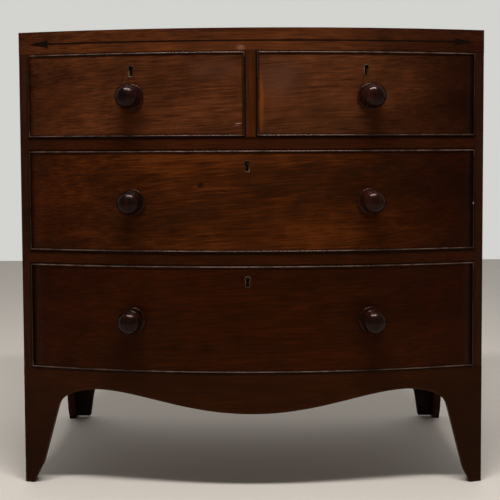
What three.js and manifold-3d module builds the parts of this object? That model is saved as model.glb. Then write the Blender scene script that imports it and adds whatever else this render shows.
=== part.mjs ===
// A bow-fronted chest: two short drawers over two long ones, cock-beaded, on bracket feet.
// Millimetres. X runs across the front, Y from the front to the back, Z up from the floor.
import * as THREE from "three";
import { mergeVertices } from "three/addons/utils/BufferGeometryUtils.js";
import Module from "manifold-3d";

const wasm = await Module();
wasm.setup();

// Case
const caseWidth = 910;
const caseDepth = 450; // from the front corners to the back
const bowRise = 64; // how far the middle of the front stands before its corners
const bowFacets = 20;
const leastFacetShare = 0.1; // of a facet, below which its end joins the next one
const sideThickness = 17;
const topThickness = 18;
const backThickness = 12;
const backRebate = 8;

// The stack of the front, from the floor to the top surface
const baseHeight = 233;
const lowerOpeningHeight = 208;
const upperOpeningHeight = 196;
const shortOpeningHeight = 162;
const railHeight = 25;
const friezeHeight = 44;

// Clearances
const seatGap = 0.3; // between a cut or curved seat and what sits in it
const drawerGap = 1; // round a drawer front in its opening
const runningGap = 0.5; // under the drawer sides
const overrun = 5; // how far a cut runs past what it cuts

// Carcass pieces
const facingThickness = 3;
const railBack = 60; // the rails' straight back edge, behind the front corners
const dustboardThickness = 12;
const housingDepth = 5;
const bottomBoardThickness = 16;
const kickerWidth = 40;
const muntinWidth = 21;
const muntinDepth = 44;
const guideHeight = 18;
const stopLength = 40;
const stopHeight = 30;
const stopLift = 20; // over the opening's floor
const stopGap = 0.6; // between a stop and the back of its drawer

// Ebony line with an arrowhead at each end
const lineDrop = 24; // below the top surface
const lineHeight = 2.6;
const lineDepth = 1.5;
const arrowInset = 20;
const arrowLength = 40;
const arrowHeight = 14.4;
const arrowStemLength = 9;
const arrowStemHeight = 5;

// Apron and bracket feet, measured inward from the outer edge of a foot
const apronThickness = 20;
const apronDepth = 79; // from the lower opening to the drop in the middle
const archCrown = 37; // from the lower opening to the top of an arch
const archRise = 44; // from the waist of a foot to the top of an arch
const archReach = 152;
const footWidth = 70;
const ankleHeight = 27;
const ankleWidth = 37;
const toeWidth = 23;
const footBendShares = [[0.09, 0.64], [0.38, 0.91]];
const apronBendShares = [0.43, 0.71];
const curveSteps = 6;
const glueBlockWidth = 20;
const glueBlockDepth = 30;
const glueBlockLift = 30;
const rearBracketThickness = 16;
const rearBracketLift = 5;
const rearToeWidth = 50;
const rearAnkleWidth = 57;
const rearAnkleHeight = 53;
const rearBracketReach = 125;
const rearBendShares = [0.26, 0.6];

// Drawer construction
const frontThickness = 22;
const drawerSideThickness = 10;
const drawerBackThickness = 10;
const drawerBackGap = 10;
const sideTopDrop = 4; // from the front's top edge to the sides' top edge
const backTopDrop = 6; // from the sides' top edge to the back's top edge
const floorThickness = 7;
const floorLift = 9; // from the sides' lower edge to the floor panel
const floorTongue = 4;
const lap = 8.5; // the wood left before the dovetails
const tailMargin = 5;
const tailShare = 0.76; // a tail's wide end, as a share of the pitch
const tailNeckShare = 0.84; // its neck, as a share of its wide end

// Cock bead
const beadHeight = 3;
const beadDepth = 6;
const beadRise = 2;
const beadShoulder = 0.9;

// Keyhole, thread escutcheon and lock
const keyholeRadius = 3.7;
const keyholeSlot = 3.8;
const keyholeHeight = 18.4;
const escutcheonBorder = 2.1;
const escutcheonDepth = 2.5;
const keyPinRadius = 1.2;
const keyPinRise = 4;
const lockWidth = 60;
const lockHeight = 50;
const lockThickness = 11;
const lockWall = 2;
const selvedgeWidth = 68;
const selvedgeThickness = 2.5;
const boltWidth = 22;
const boltThickness = 6;
const boltHeight = 18;
const boltDrop = 0.6;
const boltTravel = 8;
const boltGap = 0.3;
const mortiseGap = 1;
const roundSteps = 5;

// Turned knob: its heights are over the drawer front
const knobSides = 16;
const knobDowelRadius = 6.5;
const knobDowelLength = 19;
const knobBaseRadius = 25.3;
const knobBaseHeight = 5;
const knobNeckRadius = 13;
const knobNeckHeight = 14;
const knobHeadRadius = 23.5;
const knobHeadHeight = 24;
const knobRise = 50;
const knobDomeRadius = 22;
const knobDomeHeight = 31;
const knobGrooveDepth = 1.7;
const knobDomeSteps = 5;

// Places on the drawer fronts: knobs over the opening's floor, keyholes below the front's top edge
const knobInset = 227.5; // from the middle of the case
const shortKnobLift = 75;
const upperKnobLift = 98;
const lowerKnobLift = 104;
const leftKeyholeInset = 229; // from the middle of the case
const rightKeyholeInset = 220;
const longKeyholeOffset = -7.5;
const shortKeyholeDrop = 35;
const longKeyholeDrop = 30;

// Derived places
const halfWidth = caseWidth / 2;
const innerHalf = halfWidth - sideThickness;
const bowRadius = (halfWidth ** 2 + bowRise ** 2) / (bowRise * 2);
const bowCentreY = bowRadius - bowRise;
const bowStep = (Math.asin(halfWidth / bowRadius) * 2) / bowFacets;
const lowerRailFloor = baseHeight + lowerOpeningHeight;
const upperOpeningFloor = lowerRailFloor + railHeight;
const upperRailFloor = upperOpeningFloor + upperOpeningHeight;
const shortOpeningFloor = upperRailFloor + railHeight;
const friezeFloor = shortOpeningFloor + shortOpeningHeight;
const caseHeight = friezeFloor + friezeHeight;
const archHeight = baseHeight - archCrown;
const apronCentreHeight = baseHeight - apronDepth;
const footHeight = archHeight - archRise;
const topFloor = caseHeight - topThickness;
const backFace = caseDepth - backThickness;
const bottomBoardFloor = baseHeight - bottomBoardThickness;
const frontBackRadius = bowRadius - frontThickness;
const drawerRear = backFace - drawerBackGap;
const drawerBackInner = drawerRear - drawerBackThickness;
const drawerOuterEnd = innerHalf - drawerGap;
const drawerInnerEnd = muntinWidth / 2 + drawerGap;

// Finishes
const mahogany = new THREE.MeshStandardMaterial({ color: 0x4a2412, roughness: 0.42 });
const drawerMahogany = new THREE.MeshStandardMaterial({ color: 0x57280f, roughness: 0.4 });
const beadMahogany = new THREE.MeshStandardMaterial({ color: 0x2e160c, roughness: 0.35 });
const turnedMahogany = new THREE.MeshStandardMaterial({ color: 0x2a130c, roughness: 0.25 });
const oak = new THREE.MeshStandardMaterial({ color: 0x8a6238, roughness: 0.7 });
const pine = new THREE.MeshStandardMaterial({ color: 0x8f6b43, roughness: 0.78 });
const ebony = new THREE.MeshStandardMaterial({ color: 0x14090a, roughness: 0.35 });
const brass = new THREE.MeshStandardMaterial({ color: 0x8d7a52, roughness: 0.4, metalness: 1 });
const iron = new THREE.MeshStandardMaterial({ color: 0x4b4742, roughness: 0.55, metalness: 1 });

// Closed geometry to a solid that can be joined and cut, and back.
function toSolid(geometry) {
  const bare = geometry.clone();
  bare.deleteAttribute("normal");
  bare.deleteAttribute("uv");
  const merged = mergeVertices(bare);
  return new wasm.Manifold(new wasm.Mesh({
    numProp: 3,
    vertProperties: merged.attributes.position.array,
    triVerts: new Uint32Array(merged.index.array),
  }));
}

function toGeometry(solid) {
  const mesh = solid.getMesh();
  const geometry = new THREE.BufferGeometry();
  geometry.setAttribute("position", new THREE.BufferAttribute(mesh.vertProperties, mesh.numProp));
  geometry.setIndex(new THREE.BufferAttribute(mesh.triVerts, 1));
  const flat = geometry.toNonIndexed();
  flat.computeVertexNormals();
  return flat;
}

function join(...solids) {
  return solids.reduce((whole, solid) => whole.add(solid));
}

function cut(solid, ...cutters) {
  return cutters.reduce((left, cutter) => left.subtract(cutter), solid);
}

// Each range is [from, to].
function boxSolid(xRange, yRange, zRange) {
  const size = [xRange, yRange, zRange].map(([from, to]) => to - from);
  const middle = [xRange, yRange, zRange].map(([from, to]) => (from + to) / 2);
  return toSolid(new THREE.BoxGeometry(...size).translate(...middle));
}

function shapeOf(points) {
  return new THREE.Shape(points.map(([across, up]) => new THREE.Vector2(across, up)));
}

function extrude(shape, depth) {
  return new THREE.ExtrudeGeometry(shape, { depth, bevelEnabled: false, curveSegments: roundSteps });
}

// A plan outline in X and Y, raised from one height to another.
function raisePlan(shape, zRange) {
  return toSolid(extrude(shape, zRange[1] - zRange[0]).translate(0, 0, zRange[0]));
}

// An elevation outline in X and Z, carried back along Y.
function elevationGeometry(shape, yRange) {
  return extrude(shape, yRange[1] - yRange[0]).rotateX(Math.PI / 2).translate(0, yRange[1], 0);
}

// A side outline in Y and Z, carried across along X.
function carryAcross(shape, xRange) {
  const basis = new THREE.Matrix4().makeBasis(
    new THREE.Vector3(0, 1, 0),
    new THREE.Vector3(0, 0, 1),
    new THREE.Vector3(1, 0, 0),
  );
  return toSolid(extrude(shape, xRange[1] - xRange[0]).applyMatrix4(basis).translate(xRange[0], 0, 0));
}

// The range on one side of the middle: direction is 1 for the right and -1 for the left.
function onSide(direction, near, far) {
  return direction > 0 ? [near, far] : [-far, -near];
}

// The bow: arcs round one vertical axis behind the case.
function bowY(radius, x) {
  return bowCentreY - Math.sqrt(radius ** 2 - x ** 2);
}

function bowAngles(radius, fromX, toX) {
  const from = Math.asin(fromX / radius);
  const to = Math.asin(toX / radius);
  const angles = [from];
  for (let step = Math.ceil(from / bowStep); step * bowStep < to; step += 1) {
    const clearShare = Math.min(step * bowStep - from, to - step * bowStep) / bowStep;
    if (clearShare > leastFacetShare) angles.push(step * bowStep);
  }
  angles.push(to);
  return angles;
}

function bowPoints(radius, fromX, toX) {
  return bowAngles(radius, fromX, toX).map((angle) => [
    radius * Math.sin(angle),
    bowCentreY - radius * Math.cos(angle),
  ]);
}

// Plan of a board with a bowed front edge and a straight back edge.
function bowedPlan(radius, fromX, toX, backY) {
  return shapeOf([...bowPoints(radius, fromX, toX), [toX, backY], [fromX, backY]]);
}

// Plan of a bent board between two arcs of the bow.
function bandPlan(innerRadius, outerRadius, fromX, toX) {
  return shapeOf([
    ...bowPoints(outerRadius, fromX, toX),
    ...bowPoints(innerRadius, fromX, toX).reverse(),
  ]);
}

// The place on the front's surface at x and z: there, Y points into the wood.
function bowSeat(x, z) {
  const angle = Math.asin(x / bowRadius);
  const seat = new THREE.Matrix4().makeRotationZ(angle);
  return seat.setPosition(x, bowY(bowRadius, x), z);
}

function seated(solid, x, z) {
  return toSolid(toGeometry(solid).applyMatrix4(bowSeat(x, z)));
}

// A section of [outward, up] pairs carried along the bow and closed at both ends.
function sweepOnBow(section, fromX, toX) {
  const angles = bowAngles(bowRadius, fromX, toX);
  const positions = [];
  for (const angle of angles) {
    for (const [outward, up] of section) {
      const radius = bowRadius + outward;
      positions.push(radius * Math.sin(angle), bowCentreY - radius * Math.cos(angle), up);
    }
  }
  const count = section.length;
  const index = [];
  for (let ring = 0; ring + 1 < angles.length; ring += 1) {
    for (let point = 0; point < count; point += 1) {
      const near = ring * count + point;
      const next = ring * count + ((point + 1) % count);
      index.push(near, near + count, next, next, near + count, next + count);
    }
  }
  const outline = section.map(([outward, up]) => new THREE.Vector2(outward, up));
  const lastRing = (angles.length - 1) * count;
  for (const [a, b, c] of THREE.ShapeUtils.triangulateShape(outline, [])) {
    index.push(a, b, c, lastRing + a, lastRing + c, lastRing + b);
  }
  const geometry = new THREE.BufferGeometry();
  geometry.setAttribute("position", new THREE.Float32BufferAttribute(positions, 3));
  geometry.setIndex(index);
  return toSolid(geometry);
}

function piece(parent, name, solid, material) {
  const mesh = new THREE.Mesh(solid.isBufferGeometry ? solid : toGeometry(solid), material);
  mesh.name = name;
  parent.add(mesh);
  return mesh;
}

// The inner edge of a bracket foot, from the toe up into the arch: [inward, height] pairs.
function footEdge() {
  const waist = new THREE.Vector2(footWidth, footHeight);
  const arch = new THREE.Vector2(archReach, archHeight);
  const handles = footBendShares.map(([inwardShare, heightShare]) => new THREE.Vector2(
    THREE.MathUtils.lerp(waist.x, arch.x, inwardShare),
    THREE.MathUtils.lerp(waist.y, arch.y, heightShare),
  ));
  const bend = new THREE.CubicBezierCurve(waist, ...handles, arch).getPoints(curveSteps);
  return [[toeWidth, 0], [ankleWidth, ankleHeight], ...bend.map(({ x, y }) => [x, y])];
}

// The apron's lower edge from the right-hand arch to the drop in the middle.
function apronEdge() {
  const arch = new THREE.Vector2(halfWidth - archReach, archHeight);
  const drop = new THREE.Vector2(0, apronCentreHeight);
  const curve = new THREE.CubicBezierCurve(
    arch,
    new THREE.Vector2(arch.x * apronBendShares[1], archHeight),
    new THREE.Vector2(arch.x * apronBendShares[0], apronCentreHeight),
    drop,
  );
  return curve.getPoints(curveSteps + curveSteps).slice(1).map(({ x, y }) => [x, y]);
}

// The four drawers, each with its place, its keyhole and its knobs.
const drawers = [
  {
    name: "short_left",
    xRange: [-drawerOuterEnd, -drawerInnerEnd],
    zRange: [shortOpeningFloor, friezeFloor],
    tails: 3,
    keyhole: [-leftKeyholeInset, shortKeyholeDrop],
    knobs: [["knob", -knobInset, shortKnobLift]],
  },
  {
    name: "short_right",
    xRange: [drawerInnerEnd, drawerOuterEnd],
    zRange: [shortOpeningFloor, friezeFloor],
    tails: 3,
    keyhole: [rightKeyholeInset, shortKeyholeDrop],
    knobs: [["knob", knobInset, shortKnobLift]],
  },
  {
    name: "long_upper",
    xRange: [-drawerOuterEnd, drawerOuterEnd],
    zRange: [upperOpeningFloor, upperRailFloor],
    tails: 4,
    keyhole: [longKeyholeOffset, longKeyholeDrop],
    knobs: [["knob_left", -knobInset, upperKnobLift], ["knob_right", knobInset, upperKnobLift]],
  },
  {
    name: "long_lower",
    xRange: [-drawerOuterEnd, drawerOuterEnd],
    zRange: [baseHeight, lowerRailFloor],
    tails: 4,
    keyhole: [longKeyholeOffset, longKeyholeDrop],
    knobs: [["knob_left", -knobInset, lowerKnobLift], ["knob_right", knobInset, lowerKnobLift]],
  },
];

// Mortises over the drawers that the lock bolts shoot into.
function boltMortises(ceiling) {
  const halfBolt = boltWidth / 2 + mortiseGap;
  const middleY = frontThickness - lockThickness / 2;
  const halfThickness = boltThickness / 2 + mortiseGap;
  return drawers.filter(({ zRange }) => zRange[1] === ceiling).map(({ keyhole }) => seated(
    boxSolid(
      [-halfBolt, halfBolt],
      [middleY - halfThickness, middleY + halfThickness],
      [-overrun, boltTravel + mortiseGap],
    ),
    keyhole[0],
    ceiling,
  ));
}

// Stops glued to a back board for the drawers that it stands behind, two to a drawer.
function drawerStops(from, to) {
  const stops = [];
  for (const { xRange, zRange } of drawers) {
    const quarter = (xRange[1] - xRange[0]) / 4;
    const low = zRange[0] + stopLift;
    const high = low + stopHeight;
    const middle = (low + high) / 2;
    if (middle < from || middle >= to) continue;
    for (const x of [xRange[0] + quarter, xRange[1] - quarter]) {
      stops.push(boxSolid(
        [x - stopLength / 2, x + stopLength / 2],
        [drawerRear + stopGap, backFace + backThickness / 2],
        [Math.max(low, from), Math.min(high, to)],
      ));
    }
  }
  return stops;
}

function buildCarcass() {
  const carcass = new THREE.Group();
  const facingBack = bowRadius - facingThickness;
  const behindFacing = facingBack - seatGap;
  const behindApron = bowRadius - apronThickness - seatGap;

  piece(
    carcass,
    "top_board",
    raisePlan(bowedPlan(behindFacing, -halfWidth, halfWidth, caseDepth), [topFloor, caseHeight]),
    mahogany,
  );
  buildFrieze(carcass, facingBack, behindFacing);

  for (const direction of [-1, 1]) {
    const name = direction < 0 ? "side_left" : "side_right";
    piece(carcass, name, buildSide(direction, behindFacing, behindApron), mahogany);
  }

  buildRail(carcass, "upper_rail", upperRailFloor);
  buildRail(carcass, "lower_rail", lowerRailFloor);
  buildDustboard(carcass, "upper_dustboard", shortOpeningFloor);
  buildDustboard(carcass, "lower_dustboard", upperOpeningFloor);

  const muntinHalf = muntinWidth / 2;
  const muntinBack = muntinDepth - bowRise;
  piece(
    carcass,
    "muntin",
    raisePlan(bowedPlan(bowRadius, -muntinHalf, muntinHalf, muntinBack), [shortOpeningFloor, friezeFloor]),
    mahogany,
  );
  piece(
    carcass,
    "drawer_guide",
    boxSolid(
      [-muntinHalf, muntinHalf],
      [muntinBack, backFace],
      [shortOpeningFloor, shortOpeningFloor + guideHeight],
    ),
    pine,
  );

  const bottomPlan = bowedPlan(behindApron, -innerHalf, innerHalf, backFace);
  piece(carcass, "bottom_board", raisePlan(bottomPlan, [bottomBoardFloor, baseHeight]), pine);
  piece(carcass, "front_apron", buildApron(), mahogany);

  const backMiddle = (bottomBoardFloor + topFloor) / 2;
  const backReach = innerHalf + backRebate;
  for (const [name, from, to] of [
    ["back_board_lower", bottomBoardFloor, backMiddle],
    ["back_board_upper", backMiddle, topFloor],
  ]) {
    const board = boxSolid([-backReach, backReach], [backFace, caseDepth], [from, to]);
    piece(carcass, name, join(board, ...drawerStops(from, to)), pine);
  }
  for (const direction of [-1, 1]) {
    const name = direction < 0 ? "rear_bracket_left" : "rear_bracket_right";
    piece(carcass, name, buildRearBracket(direction), pine);
  }
  return carcass;
}

// The veneered frieze with its inlay, and the frame with kickers behind it.
function buildFrieze(carcass, facingBack, behindFacing) {
  const line = lineOutline(0);
  const groove = lineOutline(seatGap);
  const reach = [-bowRise - overrun, overrun];
  const inlayBack = bowRadius - lineDepth;
  const inlay = toSolid(elevationGeometry(line, reach)).intersect(
    raisePlan(bandPlan(inlayBack, bowRadius, -halfWidth, halfWidth), [friezeFloor, caseHeight]),
  );
  const grooveBand = bandPlan(inlayBack - seatGap, bowRadius + overrun, -halfWidth, halfWidth);
  const grooveCut = toSolid(elevationGeometry(groove, reach)).intersect(
    raisePlan(grooveBand, [friezeFloor, caseHeight]),
  );
  const facing = raisePlan(
    bandPlan(facingBack, bowRadius, -halfWidth, halfWidth),
    [friezeFloor, caseHeight],
  );
  piece(carcass, "frieze_facing", cut(facing, grooveCut), mahogany);
  piece(carcass, "line_inlay", inlay, ebony);

  const height = [friezeFloor, topFloor];
  const kickerReach = [railBack - overrun, backFace];
  const frame = join(
    raisePlan(bowedPlan(behindFacing, -innerHalf, innerHalf, railBack), height),
    boxSolid([-innerHalf, kickerWidth - innerHalf], kickerReach, height),
    boxSolid([-kickerWidth / 2, kickerWidth / 2], kickerReach, height),
    boxSolid([innerHalf - kickerWidth, innerHalf], kickerReach, height),
  );
  piece(carcass, "frieze_frame", cut(frame, ...boltMortises(friezeFloor)), pine);
}

// The line and its arrowheads in elevation, grown all round for the groove.
function lineOutline(grow) {
  const z = caseHeight - lineDrop;
  const halfLine = lineHeight / 2 + grow;
  const halfArrow = arrowHeight / 2 + grow;
  const halfStem = arrowStemHeight / 2 + grow;
  const tip = halfWidth - arrowInset + grow;
  const barb = halfWidth - arrowInset - arrowLength - grow;
  const stem = barb - arrowStemLength;
  const quarter = [[stem, halfLine], [barb, halfStem], [barb, halfArrow]];
  const mirror = (points, across, up) => points.map(([x, rise]) => [x * across, z + rise * up]);
  return shapeOf([
    [tip, z],
    ...mirror([...quarter].reverse(), 1, 1),
    ...mirror(quarter, -1, 1),
    [-tip, z],
    ...mirror([...quarter].reverse(), -1, -1),
    ...mirror(quarter, 1, -1),
  ]);
}

// A side with a bracket foot at each end of its lower edge.
function buildSide(direction, behindFacing, behindApron) {
  const foot = footEdge();
  const outline = shapeOf([
    [-bowRise, 0],
    ...foot,
    ...[...foot].reverse().map(([inward, height]) => [caseDepth - inward, height]),
    [caseDepth, 0],
    [caseDepth, topFloor],
    [-bowRise, topFloor],
  ]);
  const board = carryAcross(outline, onSide(direction, innerHalf, halfWidth));
  const plan = (radius) => bowedPlan(radius, -halfWidth, halfWidth, caseDepth + overrun);
  const shaped = join(
    board.intersect(raisePlan(plan(behindApron), [-overrun, baseHeight])),
    board.intersect(raisePlan(plan(bowRadius), [baseHeight, friezeFloor])),
    board.intersect(raisePlan(plan(behindFacing), [friezeFloor, topFloor])),
  );
  const rebateX = onSide(direction, innerHalf - overrun, innerHalf + backRebate);
  const rebate = boxSolid(rebateX, [backFace, caseDepth + overrun], [bottomBoardFloor, topFloor + overrun]);
  const housingX = onSide(direction, innerHalf - overrun, innerHalf + housingDepth);
  const housings = [shortOpeningFloor, upperOpeningFloor].map((level) => boxSolid(
    housingX,
    [railBack, backFace],
    [level - dustboardThickness, level],
  ));
  return cut(shaped, rebate, ...housings);
}

function buildRail(carcass, name, floor) {
  const plan = bowedPlan(bowRadius, -innerHalf, innerHalf, railBack);
  const rail = raisePlan(plan, [floor, floor + railHeight]);
  piece(carcass, name, cut(rail, ...boltMortises(floor)), mahogany);
}

function buildDustboard(carcass, name, top) {
  const reach = innerHalf + housingDepth;
  const board = boxSolid([-reach, reach], [railBack, backFace], [top - dustboardThickness, top]);
  piece(carcass, name, board, pine);
}

// The bent apron with the faces of the front feet, and the glue blocks behind them.
function buildApron() {
  const foot = footEdge();
  const mirrored = (points) => points.map(([x, z]) => [-x, z]);
  const rightHalf = [...foot.map(([inward, height]) => [halfWidth - inward, height]), ...apronEdge()];
  const leftHalf = mirrored(rightHalf.slice(0, -1)).reverse();
  const outline = shapeOf([
    [halfWidth, 0],
    ...rightHalf,
    ...leftHalf,
    [-halfWidth, 0],
    [-halfWidth, baseHeight],
    [halfWidth, baseHeight],
  ]);
  const band = bandPlan(bowRadius - apronThickness, bowRadius, -halfWidth, halfWidth);
  const apron = toSolid(elevationGeometry(outline, [-bowRise - overrun, caseDepth])).intersect(
    raisePlan(band, [-overrun, baseHeight]),
  );
  const blockBack = bowY(bowRadius - apronThickness, innerHalf) + glueBlockDepth;
  const blockFront = bowY(bowRadius - apronThickness / 2, innerHalf);
  const blocks = [-1, 1].map((direction) => boxSolid(
    onSide(direction, innerHalf - glueBlockWidth, innerHalf),
    [blockFront, blockBack],
    [glueBlockLift, bottomBoardFloor],
  ));
  return join(apron, ...blocks);
}

// The bracket across the back of a rear foot.
function buildRearBracket(direction) {
  const place = (inward, height) => new THREE.Vector2(direction * (halfWidth - inward), height);
  const ankle = place(rearAnkleWidth, rearAnkleHeight);
  const reach = place(rearBracketReach, bottomBoardFloor);
  const handle = new THREE.Vector2(
    THREE.MathUtils.lerp(ankle.x, reach.x, rearBendShares[0]),
    THREE.MathUtils.lerp(ankle.y, reach.y, rearBendShares[1]),
  );
  const bend = new THREE.QuadraticBezierCurve(ankle, handle, reach).getPoints(curveSteps);
  const outline = new THREE.Shape([
    place(sideThickness, rearBracketLift),
    place(rearToeWidth, rearBracketLift),
    ...bend,
    place(sideThickness, bottomBoardFloor),
  ]);
  return toSolid(elevationGeometry(outline, [caseDepth - rearBracketThickness, caseDepth]));
}

// A keyhole's outline about its middle: a round eye over a straight slot.
function keyholeOutline(grow) {
  const radius = keyholeRadius + grow;
  const halfSlot = keyholeSlot / 2 + grow;
  const eyeZ = keyholeHeight / 2 - keyholeRadius;
  const meet = Math.asin(halfSlot / radius);
  const slotEnd = -keyholeHeight / 2 - grow;
  const outline = new THREE.Shape();
  outline.moveTo(-halfSlot, slotEnd);
  outline.lineTo(halfSlot, slotEnd);
  outline.absarc(0, eyeZ, radius, meet - Math.PI / 2, Math.PI * 1.5 - meet, false);
  return outline;
}

function buildEscutcheon() {
  const plate = toSolid(elevationGeometry(keyholeOutline(escutcheonBorder), [0, escutcheonDepth]));
  const eye = toSolid(elevationGeometry(keyholeOutline(0), [-overrun, escutcheonDepth + overrun]));
  return cut(plate, eye);
}

// The lock's body about the keyhole's middle, its selvedge level with the drawer's top edge.
function lockBody(drop, grow) {
  const back = frontThickness;
  const front = frontThickness - lockThickness - grow;
  const above = grow > 0 ? overrun : 0;
  const half = lockWidth / 2 + grow;
  const selvedgeHalf = selvedgeWidth / 2 + grow;
  return join(
    boxSolid([-half, half], [front, back + above], [drop - lockHeight - grow, drop + above]),
    boxSolid(
      [-selvedgeHalf, selvedgeHalf],
      [front, back + above],
      [drop - selvedgeThickness - grow, drop + above],
    ),
  );
}

function buildLockCase(drop) {
  const front = frontThickness - lockThickness;
  const middle = frontThickness - lockThickness / 2;
  const halfBolt = boltWidth / 2 + boltGap;
  const halfThickness = boltThickness / 2 + boltGap;
  const boltWay = boxSolid(
    [-halfBolt, halfBolt],
    [middle - halfThickness, middle + halfThickness],
    [drop - boltDrop - boltHeight - boltGap, drop + overrun],
  );
  const eyeZ = keyholeHeight / 2 - keyholeRadius;
  const keyway = toSolid(elevationGeometry(keyholeOutline(0), [front - overrun, frontThickness - lockWall]));
  const pinLength = lockThickness - lockWall / 2 + keyPinRise;
  const pin = new THREE.CylinderGeometry(keyPinRadius, keyPinRadius, pinLength, knobSides / 2)
    .translate(0, front - keyPinRise + pinLength / 2, eyeZ);
  return join(cut(lockBody(drop, 0), boltWay, keyway), toSolid(pin));
}

function buildBolt(drop) {
  const middle = frontThickness - lockThickness / 2;
  const top = drop - boltDrop;
  return boxSolid(
    [-boltWidth / 2, boltWidth / 2],
    [middle - boltThickness / 2, middle + boltThickness / 2],
    [top - boltHeight, top],
  );
}

// The knob is turned round Y: its foot on the front's surface, its dome towards the viewer.
function buildKnob() {
  const headStep = knobHeadRadius - knobDomeRadius;
  const ringRadius = knobDomeRadius + headStep / 2;
  const ringHeight = (knobHeadHeight + knobDomeHeight) / 2;
  const profile = [
    [0, -knobDowelLength],
    [knobDowelRadius, -knobDowelLength],
    [knobDowelRadius, seatGap],
    [knobBaseRadius - knobGrooveDepth, seatGap],
    [knobBaseRadius, knobBaseHeight / 2],
    [knobBaseRadius - knobGrooveDepth, knobBaseHeight],
    [knobNeckRadius, (knobBaseHeight + knobNeckHeight) / 2],
    [knobNeckRadius, knobNeckHeight],
    [knobHeadRadius - knobGrooveDepth, (knobNeckHeight + knobHeadHeight) / 2],
    [knobHeadRadius, knobHeadHeight],
    [ringRadius - knobGrooveDepth / 2, ringHeight - knobGrooveDepth],
    [ringRadius, ringHeight],
    [knobDomeRadius - knobGrooveDepth / 2, knobDomeHeight - knobGrooveDepth],
  ];
  for (let step = 0; step < knobDomeSteps; step += 1) {
    const angle = (step / knobDomeSteps) * (Math.PI / 2);
    const rise = (knobRise - knobDomeHeight) * Math.sin(angle);
    profile.push([knobDomeRadius * Math.cos(angle), knobDomeHeight + rise]);
  }
  profile.push([0, knobRise]);
  const points = profile.map(([radius, rise]) => new THREE.Vector2(radius, rise));
  return new THREE.LatheGeometry(points, knobSides).rotateX(Math.PI);
}

// The tails of a drawer side: their middles and widths, over the floor panel.
function tailLayout({ zRange, tails }) {
  const from = floorTop(zRange) + tailMargin;
  const to = sideTop(zRange) - backTopDrop - tailMargin;
  const pitch = (to - from) / tails;
  const wide = (pitch * tailShare) / 2;
  const centres = Array.from({ length: tails }, (unused, tail) => from + pitch * (tail + 1 / 2));
  return { centres, wide, neck: wide * tailNeckShare };
}

function sideFloor(zRange) {
  return zRange[0] + runningGap;
}

function sideTop(zRange) {
  return zRange[1] - drawerGap - sideTopDrop;
}

function floorTop(zRange) {
  return sideFloor(zRange) + floorLift + floorThickness;
}

// Where a drawer side at one end meets the front: its shoulder and the ends of its tails.
function frontJoint(outerX, innerX) {
  const shoulder = Math.max(bowY(frontBackRadius, outerX), bowY(frontBackRadius, innerX));
  const tailEnd = Math.max(bowY(bowRadius, outerX), bowY(bowRadius, innerX)) + lap;
  return { shoulder, tailEnd };
}

// A socket's side outline, a little larger than its tail and running past the tail's end.
function socketOutline(centre, { wide, neck }, shoulder, tailEnd, past) {
  const away = Math.sign(shoulder - tailEnd);
  const open = shoulder + overrun * away;
  const end = tailEnd - past * away;
  return shapeOf([
    [open, centre - neck - seatGap],
    [shoulder, centre - neck - seatGap],
    [tailEnd, centre - wide - seatGap],
    [end, centre - wide - seatGap],
    [end, centre + wide + seatGap],
    [tailEnd, centre + wide + seatGap],
    [shoulder, centre + neck + seatGap],
    [open, centre + neck + seatGap],
  ]);
}

function tailPoints(layout, shoulder, tailEnd) {
  return layout.centres.flatMap((centre) => [
    [shoulder, centre - layout.neck],
    [tailEnd, centre - layout.wide],
    [tailEnd, centre + layout.wide],
    [shoulder, centre + layout.neck],
  ]);
}

// The two ends of a drawer: the outer and inner face of each side, and how it meets the front.
function drawerEnds({ xRange }) {
  return [
    { label: "side_left", outerX: xRange[0], innerX: xRange[0] + drawerSideThickness, inward: 1 },
    { label: "side_right", outerX: xRange[1], innerX: xRange[1] - drawerSideThickness, inward: -1 },
  ].map((end) => ({ ...end, ...frontJoint(end.outerX, end.innerX) }));
}

function ordered(a, b) {
  return [Math.min(a, b), Math.max(a, b)];
}

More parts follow.
